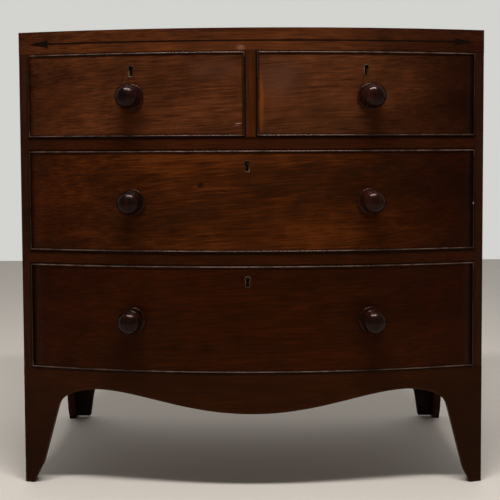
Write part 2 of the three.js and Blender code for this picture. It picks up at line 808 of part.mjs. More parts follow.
// The front: bent to the bow, with a flat seat for each side and a rebate for the bead.
function buildDrawerFront(drawer) {
  const { xRange, zRange, keyhole, knobs } = drawer;
  const [left, right] = drawerEnds(drawer);
  const height = [zRange[0] + drawerGap, zRange[1] - drawerGap];
  const plan = shapeOf([
    ...bowPoints(bowRadius, ...xRange),
    [right.outerX, right.shoulder],
    [right.innerX, right.shoulder],
    ...bowPoints(frontBackRadius, left.innerX, right.innerX).reverse(),
    [left.innerX, left.shoulder],
    [left.outerX, left.shoulder],
  ]);
  const rebateBand = bandPlan(
    bowRadius - beadDepth - seatGap,
    bowRadius + overrun,
    xRange[0] - overrun,
    xRange[1] + overrun,
  );
  const window = boxSolid(
    [xRange[0] + beadHeight, xRange[1] - beadHeight],
    [-bowRise - overrun * 2, caseDepth],
    [height[0] + beadHeight, height[1] - beadHeight],
  );
  const rebate = cut(raisePlan(rebateBand, [height[0] - overrun, height[1] + overrun]), window);

  const floorReach = drawerSideThickness - floorTongue - seatGap;
  const floorFrom = sideFloor(zRange) + floorLift;
  const groove = raisePlan(
    bowedPlan(
      frontBackRadius + floorTongue + seatGap,
      xRange[0] + floorReach,
      xRange[1] - floorReach,
      caseDepth,
    ),
    [floorFrom - seatGap, floorTop(zRange) + seatGap],
  );

  const layout = tailLayout(drawer);
  const sockets = [left, right].flatMap(({ outerX, innerX, inward, shoulder, tailEnd }) =>
    layout.centres.map((centre) => carryAcross(
      socketOutline(centre, layout, shoulder, tailEnd, seatGap),
      ordered(outerX - overrun * inward, innerX + seatGap * inward),
    )));

  const drop = keyhole[1];
  const keyholeZ = height[1] - drop;
  const escutcheonSeat = elevationGeometry(
    keyholeOutline(escutcheonBorder + seatGap),
    [-overrun, escutcheonDepth + seatGap],
  );
  const keyway = elevationGeometry(keyholeOutline(0), [0, frontThickness]);
  const fittings = join(toSolid(escutcheonSeat), toSolid(keyway), lockBody(drop, seatGap));

  const dowelRadius = knobDowelRadius + seatGap;
  const dowelHole = toSolid(
    new THREE.CylinderGeometry(dowelRadius, dowelRadius, frontThickness + overrun * 2, knobSides)
      .translate(0, frontThickness / 2, 0),
  );
  const dowelHoles = knobs.map(([, x, lift]) => seated(dowelHole, x, zRange[0] + lift));

  return cut(
    raisePlan(plan, height),
    rebate,
    groove,
    ...sockets,
    seated(fittings, keyhole[0], keyholeZ),
    ...dowelHoles,
  );
}

// The cock bead: a frame with a rounded nose, mitred at its corners.
function buildBead({ xRange, zRange }) {
  const from = zRange[0] + drawerGap;
  const to = zRange[1] - drawerGap;
  const noseStart = beadRise - beadShoulder;
  // Both the frame and its window are a sweep along the bow met by an upright prism. Past noseStart
  // their edges lean: inward for the frame, outward for its window.
  const sweep = (inset, lean, past) => {
    const shift = inset + (beadShoulder + past) * lean;
    return sweepOnBow([
      [-beadDepth - past, from + inset],
      [noseStart, from + inset],
      [beadRise + past, from + shift],
      [beadRise + past, to - shift],
      [noseStart, to - inset],
      [-beadDepth - past, to - inset],
    ], xRange[0] - overrun, xRange[1] + overrun);
  };
  const prism = (inset, lean) => {
    const shift = inset + (beadShoulder + overrun) * lean;
    const edge = (outward, x) => [x, bowY(bowRadius + outward, x)];
    const front = -bowRise - overrun * 3;
    return raisePlan(shapeOf([
      [xRange[0] + inset, caseDepth],
      edge(noseStart, xRange[0] + inset),
      edge(beadRise + overrun, xRange[0] + shift),
      [xRange[0] + shift, front],
      [xRange[1] - shift, front],
      edge(beadRise + overrun, xRange[1] - shift),
      edge(noseStart, xRange[1] - inset),
      [xRange[1] - inset, caseDepth],
    ]), [from - overrun, to + overrun]);
  };
  const frame = sweep(0, 1, 0).intersect(prism(0, 1));
  const window = sweep(beadHeight, -1, overrun).intersect(prism(beadHeight, -1));
  return cut(frame, window);
}

function buildDrawerSide(drawer, end) {
  const { zRange } = drawer;
  const layout = tailLayout(drawer);
  const low = sideFloor(zRange);
  const high = sideTop(zRange);
  const underBack = floorTop(zRange) + seatGap;
  const outline = shapeOf([
    [end.shoulder, low],
    ...tailPoints(layout, end.shoulder, end.tailEnd),
    [end.shoulder, high],
    [drawerBackInner, high],
    ...tailPoints(layout, drawerBackInner, drawerRear).reverse(),
    [drawerBackInner, underBack],
    [drawerRear, underBack],
    [drawerRear, low],
  ]);
  const groove = boxSolid(
    ordered(end.innerX - (floorTongue + seatGap) * end.inward, end.innerX + overrun * end.inward),
    [end.shoulder - overrun, drawerRear + overrun],
    [low + floorLift - seatGap, underBack],
  );
  return cut(carryAcross(outline, ordered(end.outerX, end.innerX)), groove);
}

function buildDrawerBack(drawer) {
  const { xRange, zRange } = drawer;
  const layout = tailLayout(drawer);
  const board = boxSolid(
    xRange,
    [drawerBackInner, drawerRear],
    [floorTop(zRange) + seatGap, sideTop(zRange) - backTopDrop],
  );
  const sockets = drawerEnds(drawer).flatMap(({ outerX, innerX, inward }) =>
    layout.centres.map((centre) => carryAcross(
      socketOutline(centre, layout, drawerBackInner, drawerRear, overrun),
      ordered(outerX - overrun * inward, innerX + seatGap * inward),
    )));
  return cut(board, ...sockets);
}

function buildDrawerFloor({ xRange, zRange }) {
  const reach = drawerSideThickness - floorTongue;
  const plan = bowedPlan(frontBackRadius + floorTongue, xRange[0] + reach, xRange[1] - reach, drawerRear);
  return raisePlan(plan, [sideFloor(zRange) + floorLift, floorTop(zRange)]);
}

function buildDrawer(drawer) {
  const { name, zRange, keyhole, knobs } = drawer;
  const group = new THREE.Group();
  const add = (part, solid, material) => piece(group, `${name}_${part}`, solid, material);

  add("front", buildDrawerFront(drawer), drawerMahogany);
  add("bead", buildBead(drawer), beadMahogany);
  for (const end of drawerEnds(drawer)) {
    add(end.label, buildDrawerSide(drawer, end), oak);
  }
  add("back", buildDrawerBack(drawer), oak);
  add("floor", buildDrawerFloor(drawer), oak);

  const [keyholeX, drop] = keyhole;
  const keyholeSeat = bowSeat(keyholeX, zRange[1] - drawerGap - drop);
  add("escutcheon", buildEscutcheon(), brass).applyMatrix4(keyholeSeat);
  add("lock_case", buildLockCase(drop), iron).applyMatrix4(keyholeSeat);
  add("lock_bolt", buildBolt(drop), brass).applyMatrix4(keyholeSeat);
  for (const [part, x, lift] of knobs) {
    add(part, buildKnob(), turnedMahogany).applyMatrix4(bowSeat(x, zRange[0] + lift));
  }
  return group;
}

// The part's origin is the middle of its footprint, on the floor.
const chest = new THREE.Group();
chest.add(buildCarcass());
for (const drawer of drawers) {
  chest.add(buildDrawer(drawer));
}
const extent = new THREE.Box3().setFromObject(chest, true);
chest.position.y = -(extent.min.y + extent.max.y) / 2;

export default chest;
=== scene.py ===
from math import asin, cos, pi, radians, sin, sqrt
import bmesh
import bpy
from mathutils import Matrix, Vector


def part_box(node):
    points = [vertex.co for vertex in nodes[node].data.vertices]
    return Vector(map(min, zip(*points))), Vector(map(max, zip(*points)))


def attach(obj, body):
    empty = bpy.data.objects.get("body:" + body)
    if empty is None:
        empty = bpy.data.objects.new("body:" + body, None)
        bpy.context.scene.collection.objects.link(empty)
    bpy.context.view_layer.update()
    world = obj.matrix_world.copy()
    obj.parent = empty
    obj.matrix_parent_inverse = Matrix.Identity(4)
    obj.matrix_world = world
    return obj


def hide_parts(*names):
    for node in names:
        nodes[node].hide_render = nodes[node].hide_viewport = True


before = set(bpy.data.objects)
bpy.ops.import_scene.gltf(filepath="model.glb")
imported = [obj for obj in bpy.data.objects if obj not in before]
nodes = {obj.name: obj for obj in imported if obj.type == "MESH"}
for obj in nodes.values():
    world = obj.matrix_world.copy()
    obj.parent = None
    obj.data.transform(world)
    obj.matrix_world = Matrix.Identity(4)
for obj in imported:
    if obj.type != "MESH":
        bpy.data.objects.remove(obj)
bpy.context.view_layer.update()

drawerNames = ["short_left", "short_right", "long_upper", "long_lower"]

# The bow: every front surface is an arc round one upright axis behind the chest. Metres throughout.
bow = {"radius": 1.6493828, "axisY": 1.4092697, "half": 0.455}


def bowY(x, outward=0.0):
    return bow["axisY"] - sqrt((bow["radius"] + outward) ** 2 - x * x)


def bowPlace(x, z):
    # The point on the front at x and z, and how far the surface is turned there.
    turn = asin(x / bow["radius"])
    return Vector((bow["radius"] * sin(turn), bow["axisY"] - bow["radius"] * cos(turn), z)), turn


def bowSeat(x, z):
    # The same place as a matrix, for what is let into the front, with its turn.
    place, turn = bowPlace(x, z)
    return Matrix.Translation(place) @ Matrix.Rotation(turn, 4, "Z"), turn


def newObject(name, data):
    made = bpy.data.objects.new(name, data)
    bpy.context.scene.collection.objects.link(made)
    return made


print("camera")
cameraSetup = {
    "place": (0.0148, -1.988, 0.6698),
    "pitch": 2.8,       # degrees down
    "yaw": 0.561,       # degrees to the left
    "roll": -0.2725,
    "lens": 66.3,
    "sensor": 36,
    "shiftUp": -0.118,
    "farthest": 60,
}


def makeCamera(setup):
    data = bpy.data.cameras.new("photo_view")
    data.lens = setup["lens"]
    data.sensor_width = setup["sensor"]
    data.shift_y = setup["shiftUp"]
    data.clip_end = setup["farthest"]
    camera = newObject("photo_view", data)
    turned = Matrix.Translation(setup["place"])
    for angle, axis in ((setup["yaw"], "Z"), (90 - setup["pitch"], "X"), (setup["roll"], "Z")):
        turned = turned @ Matrix.Rotation(radians(angle), 4, axis)
    camera.matrix_world = turned
    bpy.context.scene.camera = camera


makeCamera(cameraSetup)
bpy.context.scene.view_settings.view_transform = "Standard"


def shade(red, green, blue):
    # A colour as it is seen, 0 to 255, made linear.
    def linear(value):
        value = value / 255
        return value / 12.92 if value <= 0.04045 else ((value + 0.055) / 1.055) ** 2.4
    return (linear(red), linear(green), linear(blue), 1.0)


def feed(tree, node, inputs):
    # Each input is a value, or the socket that feeds it.
    for key, value in inputs.items():
        if isinstance(value, bpy.types.NodeSocket):
            tree.links.new(value, node.inputs[key])
        else:
            node.inputs[key].default_value = value


def put(tree, kind, inputs, **settings):
    made = tree.nodes.new(kind)
    for key, value in settings.items():
        setattr(made, key, value)
    feed(tree, made, inputs)
    return made


def reckon(tree, operation, first, second=0.0, third=None, clamp=False):
    values = {0: first, 1: second}
    if third is not None:
        values[2] = third
    return put(tree, "ShaderNodeMath", values, operation=operation, use_clamp=clamp).outputs[0]


def times(tree, first, second, clamp=False):
    return reckon(tree, "MULTIPLY", first, second, clamp=clamp)


def swing(tree, noise, share, base):
    # The base, moved up and down by a share of the noise.
    return reckon(tree, "MULTIPLY_ADD", reckon(tree, "SUBTRACT", noise, 0.5), share, base)


def vectorMath(tree, operation, first, second=None):
    values = {0: first} if second is None else {0: first, 1: second}
    made = put(tree, "ShaderNodeVectorMath", values, operation=operation)
    return made.outputs["Value" if operation == "LENGTH" else "Vector"]


def joined(tree, x=0.0, y=0.0, z=0.0):
    return put(tree, "ShaderNodeCombineXYZ", {0: x, 1: y, 2: z}).outputs[0]


def parted(tree, vector):
    return put(tree, "ShaderNodeSeparateXYZ", {0: vector}).outputs


def spread(tree, value, fromLow, fromHigh, toLow=0.0, toHigh=1.0):
    return put(tree, "ShaderNodeMapRange", {0: value, 1: fromLow, 2: fromHigh, 3: toLow, 4: toHigh},
               interpolation_type="SMOOTHSTEP").outputs[0]


def stretched(tree, vector, scale, turn=(0, 0, 0), shift=(0, 0, 0)):
    return put(tree, "ShaderNodeMapping", {"Vector": vector, "Scale": scale, "Rotation": turn,
                                           "Location": shift}).outputs[0]


def cloud(tree, vector, scale=1.0, detail=2.0, rough=0.5, twist=0.0, output="Fac"):
    return put(tree, "ShaderNodeTexNoise", {"Vector": vector, "Scale": scale, "Detail": detail,
                                            "Roughness": rough, "Distortion": twist}).outputs[output]


def blended(tree, share, first, second, kind="MIX"):
    return put(tree, "ShaderNodeMix", {"Factor": share, 6: first, 7: second},
               data_type="RGBA", blend_type=kind).outputs[2]


socketKinds = {"VALUE": "Float", "RGBA": "Color", "VECTOR": "Vector", "GEOMETRY": "Geometry"}


def socketKind(value):
    # What kind of socket a starting value asks for. A word is the kind itself.
    if isinstance(value, str):
        return value
    if isinstance(value, tuple):
        return "Color" if len(value) == 4 else "Vector"
    return "Int" if isinstance(value, int) else "Float"


def newGroup(name, inputs, kind="ShaderNodeTree"):
    tree = bpy.data.node_groups.new(name, kind)
    for label, value in inputs.items():
        kindName = "NodeSocket" + socketKind(value)
        socket = tree.interface.new_socket(label, in_out="INPUT", socket_type=kindName)
        if not isinstance(value, str):
            socket.default_value = value
    return tree, tree.nodes.new("NodeGroupInput").outputs


def closeGroup(tree, results):
    for label, socket in results.items():
        kindName = "NodeSocket" + socketKinds[socket.type]
        tree.interface.new_socket(label, in_out="OUTPUT", socket_type=kindName)
    feed(tree, tree.nodes.new("NodeGroupOutput"), results)
    return tree


def useGroup(tree, group, inputs):
    return put(tree, "ShaderNodeGroup", inputs, node_tree=group).outputs


print("shared effects")
# How often each part of the grain comes to the metre, along the board, across it and through it.
grainScales = {"sway": (1.7, 3, 5), "broad": (2.2, 7, 15), "ripple": (26, 12, 30), "linesAlong": 11.0,
               "linesAcross": 0.5, "fibre": (16, 420, 620), "pores": (95, 1500, 2100)}


def makeGrain():
    # Sawn wood with its length along X: broad figure, growth lines, fibre and open pores.
    tree, given = newGroup("wood_grain", {
        "Vector": "Vector", "Light": (0.3, 0.12, 0.05, 1), "Middle": (0.15, 0.06, 0.03, 1),
        "Dark": (0.05, 0.02, 0.01, 1), "Lines": 90.0, "Wander": 0.02, "Figure": 0.5, "Ripple": 0.2,
        "Pore Depth": 0.35})
    vector = given["Vector"]
    sway = cloud(tree, stretched(tree, vector, grainScales["sway"]), output="Color")
    swayed = vectorMath(tree, "SUBTRACT", sway, (0.5, 0.5, 0.5))
    amount = joined(tree, 0.0, given["Wander"], given["Wander"])
    wandered = vectorMath(tree, "ADD", vector, vectorMath(tree, "MULTIPLY", swayed, amount))
    across = times(tree, given["Lines"], grainScales["linesAcross"])
    lineScale = joined(tree, grainScales["linesAlong"], across, given["Lines"])
    lines = cloud(tree, vectorMath(tree, "MULTIPLY", wandered, lineScale), 1.0, 4, 0.6)
    broad = cloud(tree, stretched(tree, wandered, grainScales["broad"]), 1.0, 3, 0.5, 0.3)
    ripple = cloud(tree, stretched(tree, wandered, grainScales["ripple"]), 1.0, 2, 0.5)
    fibre = cloud(tree, stretched(tree, wandered, grainScales["fibre"]), 1.0, 2, 0.6)
    pores = cloud(tree, stretched(tree, wandered, grainScales["pores"]), 1.0, 1, 0.5)
    total = swing(tree, broad, given["Figure"], lines)
    total = swing(tree, ripple, given["Ripple"], total)
    total = swing(tree, fibre, 0.3, total)
    lower = blended(tree, spread(tree, total, 0.3, 0.5), given["Dark"], given["Middle"])
    full = blended(tree, spread(tree, total, 0.48, 0.74), lower, given["Light"])
    poreMask = spread(tree, pores, 0.6, 0.72)
    deep = times(tree, poreMask, given["Pore Depth"])
    return closeGroup(tree, {
        "Color": blended(tree, deep, full, given["Dark"]), "Grain": total,
        "Height": reckon(tree, "MULTIPLY_ADD", fibre, 0.4, reckon(tree, "SUBTRACT", 1.0, deep))})


def makeWear():
    # Where hands and cloths have rubbed an edge: the piece's own edge attribute, broken up. On the beads'
    # upward faces it also paints a highlight.
    tree, given = newGroup("edge_wear", {"Vector": "Vector", "Edge": 0.0, "Amount": 0.6, "Scale": 60.0})
    broken = cloud(tree, given["Vector"], given["Scale"], 4, 0.65)
    nicks = cloud(tree, given["Vector"], 210.0, 2, 0.6)
    reach = times(tree, given["Edge"], spread(tree, broken, 0.36, 0.66, 0.25, 1.0))
    return closeGroup(tree, {
        "Mask": times(tree, reach, given["Amount"], clamp=True),
        "Nicks": times(tree, given["Edge"], spread(tree, nicks, 0.66, 0.74))})


def makePatch():
    # A soft-edged patch about one place, such as a stain, a plug or a worn corner.
    tree, given = newGroup("patch", {"Vector": "Vector", "Place": (0, 0, 0), "Reach": (1, 1, 1),
                                     "Soft": 1.0, "Ragged": 0.3})
    away = vectorMath(tree, "SUBTRACT", given["Vector"], given["Place"])
    distance = vectorMath(tree, "LENGTH", vectorMath(tree, "DIVIDE", away, given["Reach"]))
    ragged = cloud(tree, stretched(tree, given["Vector"], (9, 20, 26)), 1.0, 4, 0.6)
    moved = swing(tree, ragged, given["Ragged"], distance)
    inner = reckon(tree, "SUBTRACT", 1.0, given["Soft"])
    return closeGroup(tree, {"Mask": spread(tree, moved, inner, 1.0, 1.0, 0.0)})


def makeGrime():
    # Old polish and dirt in soft clouds, with fine dust specks.
    tree, given = newGroup("grime", {"Vector": "Vector", "Scale": 6.0, "Amount": 0.4})
    clouds = cloud(tree, given["Vector"], given["Scale"], 5, 0.6)
    specks = cloud(tree, given["Vector"], 330.0, 1, 0.5)
    return closeGroup(tree, {
        "Mask": times(tree, spread(tree, clouds, 0.42, 0.68), given["Amount"]),
        "Specks": spread(tree, specks, 0.7, 0.78)})


def makeBorder():
    # Dark polish and dirt beside a drawer's bead, with painted shade where the bead shadows the front, by
    # how near the drawer's edge is.
    tree, given = newGroup("bead_dirt_and_shade", {"Vector": "Vector", "Centre": (0, 0, 0), "Half": (0.2, 1, 0.1),
                                          "Width": 0.004})
    away = vectorMath(tree, "ABSOLUTE", vectorMath(tree, "SUBTRACT", given["Vector"], given["Centre"]))
    room = parted(tree, vectorMath(tree, "SUBTRACT", given["Half"], away))
    nearest = reckon(tree, "MINIMUM", room[0], room[2])
    moved = swing(tree, cloud(tree, given["Vector"], 45.0, 3, 0.6), given["Width"], nearest)
    near, far = (times(tree, given["Width"], share) for share in (0.6, 2.0))
    return closeGroup(tree, {"Mask": spread(tree, moved, near, far, 1.0, 0.0)})


grainGroup = makeGrain()
wearGroup = makeWear()
patchGroup = makePatch()
grimeGroup = makeGrime()
borderGroup = makeBorder()

along = {"x": (0, 0, 0), "y": (0, 0, -pi / 2), "z": (0, pi / 2, 0)}   # which way the grain runs
endless = 9.0   # a reach that takes in the whole chest

# What a finish has where its own look doesn't say otherwise. Shades are as seen, 0 to 255.
# A patch is its shade or what it multiplies, place (x, z), reach (x, z), softness, strength, raggedness.
woodLook = {
    "along": "x", "shift": (0, 0, 0), "tilt": 0, "lines": 90, "wander": 0.02, "figure": 0.5, "ripple": 0.2,
    "pores": 0.35, "patches": [], "ragged": 0.35, "border": None, "borderWidth": 0.004,
    "borderStrength": 0.75, "borderShade": (14, 5, 3), "grime": 0.35, "grimeScale": 7,
    "grimeShade": (20, 8, 4), "wear": 0.5, "wearScale": 60, "wearShade": (96, 72, 62),
    "nickShade": (16, 8, 6), "rough": (0.34, 0.5), "bump": 0.25, "bumpDepth": 0.0002, "sheen": 0.16,
    "sheenTint": (1, 1, 1, 1),
}
metalLook = {"wear": 0.5, "wearScale": 90, "scratches": (900, 900, 160), "bump": 0.2, "bumpDepth": 0.0001,
             "sheen": 0.5}


def newMaterial(name):
    material = bpy.data.materials.new(name)
    material.use_nodes = True
    tree = material.node_tree
    place = tree.nodes.new("ShaderNodeTexCoord").outputs["Object"]
    return material, tree, tree.nodes["Principled BSDF"], place


def rubbed(tree, place, look):
    edge = put(tree, "ShaderNodeAttribute", {}, attribute_name="edge").outputs["Fac"]
    return useGroup(tree, wearGroup, {"Vector": place, "Edge": edge, "Amount": look["wear"],
                                      "Scale": look["wearScale"]})


def bumped(tree, height, look):
    return put(tree, "ShaderNodeBump", {"Strength": look["bump"], "Distance": look["bumpDepth"],
                                        "Height": height}).outputs[0]


def makeWood(name, ownLook):
    # One finish: grain, patches, grime and worn edges, under a thin old polish. Some patches, the band
    # beside the beads and the beads' pale tops are painted light and shade.
    look = {**woodLook, **ownLook}
    material, tree, shader, place = newMaterial(name)
    turned = stretched(tree, place, (1, 1, 1), along[look["along"]], look["shift"])
    tilted = stretched(tree, turned, (1, 1, 1), (0, radians(look["tilt"]), 0))
    light, middle, dark = (shade(*value) for value in look["shades"])
    grain = useGroup(tree, grainGroup, {
        "Vector": tilted, "Light": light, "Middle": middle, "Dark": dark, "Lines": look["lines"],
        "Wander": look["wander"], "Figure": look["figure"], "Ripple": look["ripple"],
        "Pore Depth": look["pores"]})
    colour = grain["Color"]
    for tint, centre, reach, soft, strength, *ragged in look["patches"]:
        mask = useGroup(tree, patchGroup, {
            "Vector": place, "Place": (centre[0], bowY(min(abs(centre[0]), bow["half"])), centre[1]),
            "Reach": (reach[0], endless, reach[1]), "Soft": soft,
            "Ragged": ragged[0] if ragged else look["ragged"]})["Mask"]
        multiplies = tint[0] == "x"
        paint = (*tint[1:], 1.0) if multiplies else shade(*tint)
        colour = blended(tree, times(tree, mask, strength), colour, paint,
                         "MULTIPLY" if multiplies else "MIX")
    grime = useGroup(tree, grimeGroup, {"Vector": place, "Scale": look["grimeScale"],
                                        "Amount": look["grime"]})
    colour = blended(tree, grime["Mask"], colour, shade(*look["grimeShade"]))
    # The band inside each drawer's bead: dirt, and painted shade of the bead's shadow.
    if look["border"]:
        low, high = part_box(look["border"])
        border = useGroup(tree, borderGroup, {
            "Vector": place, "Centre": [(a + b) / 2 for a, b in zip(low, high)],
            "Half": ((high[0] - low[0]) / 2, 1.0, (high[2] - low[2]) / 2),
            "Width": look["borderWidth"]})["Mask"]
        colour = blended(tree, times(tree, border, look["borderStrength"]), colour,
                         shade(*look["borderShade"]))
    wear = rubbed(tree, place, look)
    colour = blended(tree, wear["Mask"], colour, shade(*look["wearShade"]))
    colour = blended(tree, wear["Nicks"], colour, shade(*look["nickShade"]))
    smoothest, roughest = look["rough"]
    rough = spread(tree, grain["Grain"], 0.3, 0.75, roughest, smoothest)
    rough = reckon(tree, "MULTIPLY_ADD", grime["Mask"], 0.2, rough)
    rough = reckon(tree, "MULTIPLY_ADD", wear["Mask"], 0.12, rough, clamp=True)
    feed(tree, shader, {
        "Base Color": colour, "Roughness": rough, "Normal": bumped(tree, grain["Height"], look),
        "Specular IOR Level": look["sheen"], "Specular Tint": look["sheenTint"]})
    return material


def makeMetal(name, ownLook):
    # Old metal: tarnish in clouds over rubbed metal.
    look = {**metalLook, **ownLook}
    material, tree, shader, place = newMaterial(name)
    metal, dull, bright = (shade(*look[key]) for key in ("metal", "dull", "bright"))
    grime = useGroup(tree, grimeGroup, {"Vector": place, "Scale": look["scale"], "Amount": look["tarnish"]})
    colour = blended(tree, grime["Mask"], metal, dull)
    colour = blended(tree, rubbed(tree, place, look)["Mask"], colour, bright)
    colour = blended(tree, times(tree, grime["Specks"], 0.6), colour, dull)
    scratches = cloud(tree, stretched(tree, place, look["scratches"]))
    feed(tree, shader, {
        "Base Color": colour, "Roughness": spread(tree, grime["Mask"], 0.0, 0.6, *look["rough"]),
        "Metallic": spread(tree, grime["Mask"], 0.0, 0.7, *look["metallic"]),
        "Normal": bumped(tree, scratches, look), "Specular IOR Level": look["sheen"]})
    return material


print("finishes")
caseLook = {
    "shades": ((88, 42, 20), (56, 25, 12), (28, 11, 6)),
    "lines": 330, "figure": 0.6, "wear": 0.4, "rough": (0.34, 0.46), "sheen": 0.2,
    "sheenTint": (1.0, 0.34, 0.1, 1.0),
}
oakLook = {
    "shades": ((166, 124, 80), (142, 102, 62), (112, 76, 44)), "lines": 260, "figure": 0.3, "ripple": 0.08,
    "pores": 0.6, "rough": (0.6, 0.78), "sheen": 0.2, "grime": 0.22, "grimeScale": 5,
    "grimeShade": (92, 64, 40), "wear": 0.4, "wearShade": (120, 88, 56), "bump": 0.4,
}
pineLook = {
    "shades": ((138, 102, 66), (116, 82, 50), (84, 56, 33)), "lines": 120, "wander": 0.05, "figure": 0.45,
    "ripple": 0.03, "pores": 0.1, "rough": (0.62, 0.82), "sheen": 0.15, "grimeScale": 3,
    "grimeShade": (74, 52, 36), "wearShade": (70, 48, 32), "bump": 0.5,
}
finishes = {
    "frieze": makeWood("frieze_mahogany", {
        **caseLook, "shades": ((94, 48, 21), (74, 36, 16), (50, 22, 10)), "shift": (0.3, 0, 0.1),
        "patches": [
            # painted shade: darker towards the right end, where less light falls
            (("x", 0.36, 0.32, 0.44), (0.45, 0.87), (0.32, 0.09), 0.8, 0.95),
            (("x", 0.6, 0.6, 0.8), (-0.45, 0.87), (0.05, 0.06), 0.8, 0.7),
            # painted shade: darker low down at the right
            (("x", 0.5, 0.42, 0.42), (0.4, 0.857), (0.24, 0.026), 0.9, 0.75),
            ((130, 86, 70), (-0.018, 0.856), (0.011, 0.007), 0.7, 0.7, 1.2),
            # a dark line along the frieze's foot over the top beads: painted shade
            (("x", 0.25, 0.22, 0.22), (0.0, 0.8485), (endless, 0.004), 0.9, 0.9),
        ],
    }),
    "side": makeWood("side_mahogany", {
        **caseLook, "along": "z", "shades": ((50, 20, 9), (34, 13, 6), (20, 7, 4)), "lines": 150,
        "wear": 0.45, "figure": 0.8, "wearShade": (54, 30, 20),
        "patches": [(("x", 0.4, 0.34, 0.34), (end, 0.0), (0.6, 0.18), 0.9, 0.9) for end in (0.45, -0.45)],
    }),
    "muntin": makeWood("muntin_mahogany", {
        **caseLook, "along": "z", "shades": ((72, 32, 11), (55, 24, 7), (36, 14, 5)), "shift": (0, 0.2, 0),
        # dark bands along both edges, beside the drawers' beads: painted shade in the gaps
        "patches": [(("x", 0.2, 0.18, 0.18), (end, 0.76), (0.0032, endless), 0.9, 0.9, 0.1)
                    for end in (0.0105, -0.0105)],
    }),
    "rail": makeWood("rail_mahogany", {
        **caseLook, "shades": ((58, 23, 8), (43, 16, 5), (28, 10, 4)), "shift": (0.7, 0, 0.4),
        # dark bands along the rails' edges: painted shadow under each drawer above, and painted shade over
        # the drawer below
        "patches": [(("x", 0.12, 0.1, 0.1), (0.0, level), (endless, reach), 0.7, 0.95, 0.1)
                    for level, reach in ((0.688, 0.0095), (0.6615, 0.0045),
                                         (0.467, 0.0095), (0.4405, 0.0045))]
                   # painted shade: darker towards the right, where less light falls
                   + [(("x", 0.75, 0.7, 0.8), (0.40, 0.56), (0.15, endless), 0.9, 0.7)],
    }),
    "apron": makeWood("apron_mahogany", {
        **caseLook, "shades": ((46, 18, 5), (33, 12, 4), (21, 8, 3)), "shift": (0.1, 0, 0.23),
        "wear": 0.6, "wearShade": (54, 32, 23),
        "patches": [(("x", 0.12, 0.11, 0.16), (0.45, 0.0), (0.24, 0.34), 0.85, 0.9),
                    (("x", 0.2, 0.2, 0.26), (-0.45, 0.0), (0.17, 0.26), 0.85, 0.9),
                    # the last is a dark line along the apron's top, under the lowest bead: painted shade
                    (("x", 0.2, 0.18, 0.18), (0.0, 0.2335), (endless, 0.006), 0.9, 0.95, 0.1)],
    }),
    "top": makeWood("top_mahogany", {
        **caseLook, "shades": ((84, 40, 20), (60, 27, 13), (38, 16, 8)), "figure": 0.45, "wander": 0.04,
        "shift": (0.2, 0.5, 0.1), "rough": (0.3, 0.44), "grime": 0.2, "grimeScale": 4, "lines": 420}),
    # On the beads the pale edge shade is partly a painted highlight on their tops, and the pale patch on the
    # upper long drawer's right bead is a painted glint.
    "bead": makeWood("bead_mahogany", {
        **caseLook, "shades": ((36, 16, 9), (22, 9, 5), (12, 5, 3)), "wear": 0.55, "wearScale": 35,
        "sheenTint": (1, 0.8, 0.7, 1), "wearShade": (132, 102, 90), "rough": (0.14, 0.22), "sheen": 0.2,
        "bump": 0.1,
        "patches": [((206, 186, 170), (0.4335, 0.556), (0.0025, 0.0035), 0.6, 0.85, 0.4)]}),
    "knob": makeWood("turned_mahogany", {
        **caseLook, "shades": ((46, 17, 10), (26, 9, 5), (12, 4, 3)), "lines": 220, "along": "z",
        "figure": 0.7, "rough": (0.14, 0.19), "sheen": 0.17, "sheenTint": (1, 0.66, 0.56, 1), "bump": 0.3,
        "wear": 0.3, "wearShade": (66, 36, 27), "grime": 0.5, "grimeScale": 40}),
    "oak": makeWood("aged_oak", {**oakLook, "along": "y"}),
    "oakAcross": makeWood("aged_oak_across", {**oakLook, "shift": (0.4, 0.1, 0.7)}),
    "pine": makeWood("aged_pine", {**pineLook, "shift": (0.3, 0.4, 0.2)}),
    "backLower": makeWood("back_pine_lower", {
        **pineLook, "shift": (0.1, 0.0, 0.35), "tilt": 0.8,
        "patches": [((58, 36, 21), (0.21, 0.33), (0.015, 0.010), 0.5, 0.85, 0.5),
                    ((58, 36, 21), (-0.30, 0.47), (0.011, 0.008), 0.5, 0.85, 0.5),
                    (("x", 0.6, 0.58, 0.56), (0.0, 0.22), (endless, 0.03), 0.9, 0.7)]}),
    "backUpper": makeWood("back_pine_upper", {
        **pineLook, "shift": (0.9, 0.0, 0.77), "tilt": -0.6,
        "patches": [((58, 36, 21), (-0.12, 0.71), (0.017, 0.011), 0.5, 0.85, 0.5),
                    (("x", 0.7, 0.68, 0.64), (-0.3, 0.82), (0.3, 0.08), 0.9, 0.6)]}),
    "bracket": makeWood("dark_pine", {
        "shades": ((44, 26, 16), (30, 17, 11), (16, 9, 6)), "lines": 45, "figure": 0.5,
        "ripple": 0.05, "pores": 0.1, "rough": (0.6, 0.8), "sheen": 0.1, "grime": 0.5,
        "grimeShade": (14, 9, 7), "wear": 0.2, "wearShade": (50, 32, 22), "bump": 0.4}),
    "ebony": makeWood("ebony_line", {
        "shades": ((26, 12, 8), (15, 7, 5), (8, 4, 3)), "lines": 200, "figure": 0.3,
        "ripple": 0.1, "pores": 0.2, "rough": (0.34, 0.48), "sheen": 0.1, "grime": 0.2,
        "sheenTint": (1.0, 0.6, 0.4, 1.0), "wear": 0.0}),
    "brass": makeMetal("aged_brass", {
        "metal": (52, 36, 23), "dull": (26, 15, 9), "bright": (196, 172, 142), "scale": 160,
        "tarnish": 0.9, "rough": (0.3, 0.5), "metallic": (0.35, 0.1), "wear": 1.0, "sheen": 0.15}),
    "iron": makeMetal("dull_iron", {
        "metal": (108, 102, 94), "dull": (52, 40, 32), "bright": (140, 134, 126), "scale": 60,
        "tarnish": 0.9, "rough": (0.45, 0.75), "metallic": (1.0, 0.35), "wear": 0.4}),
}
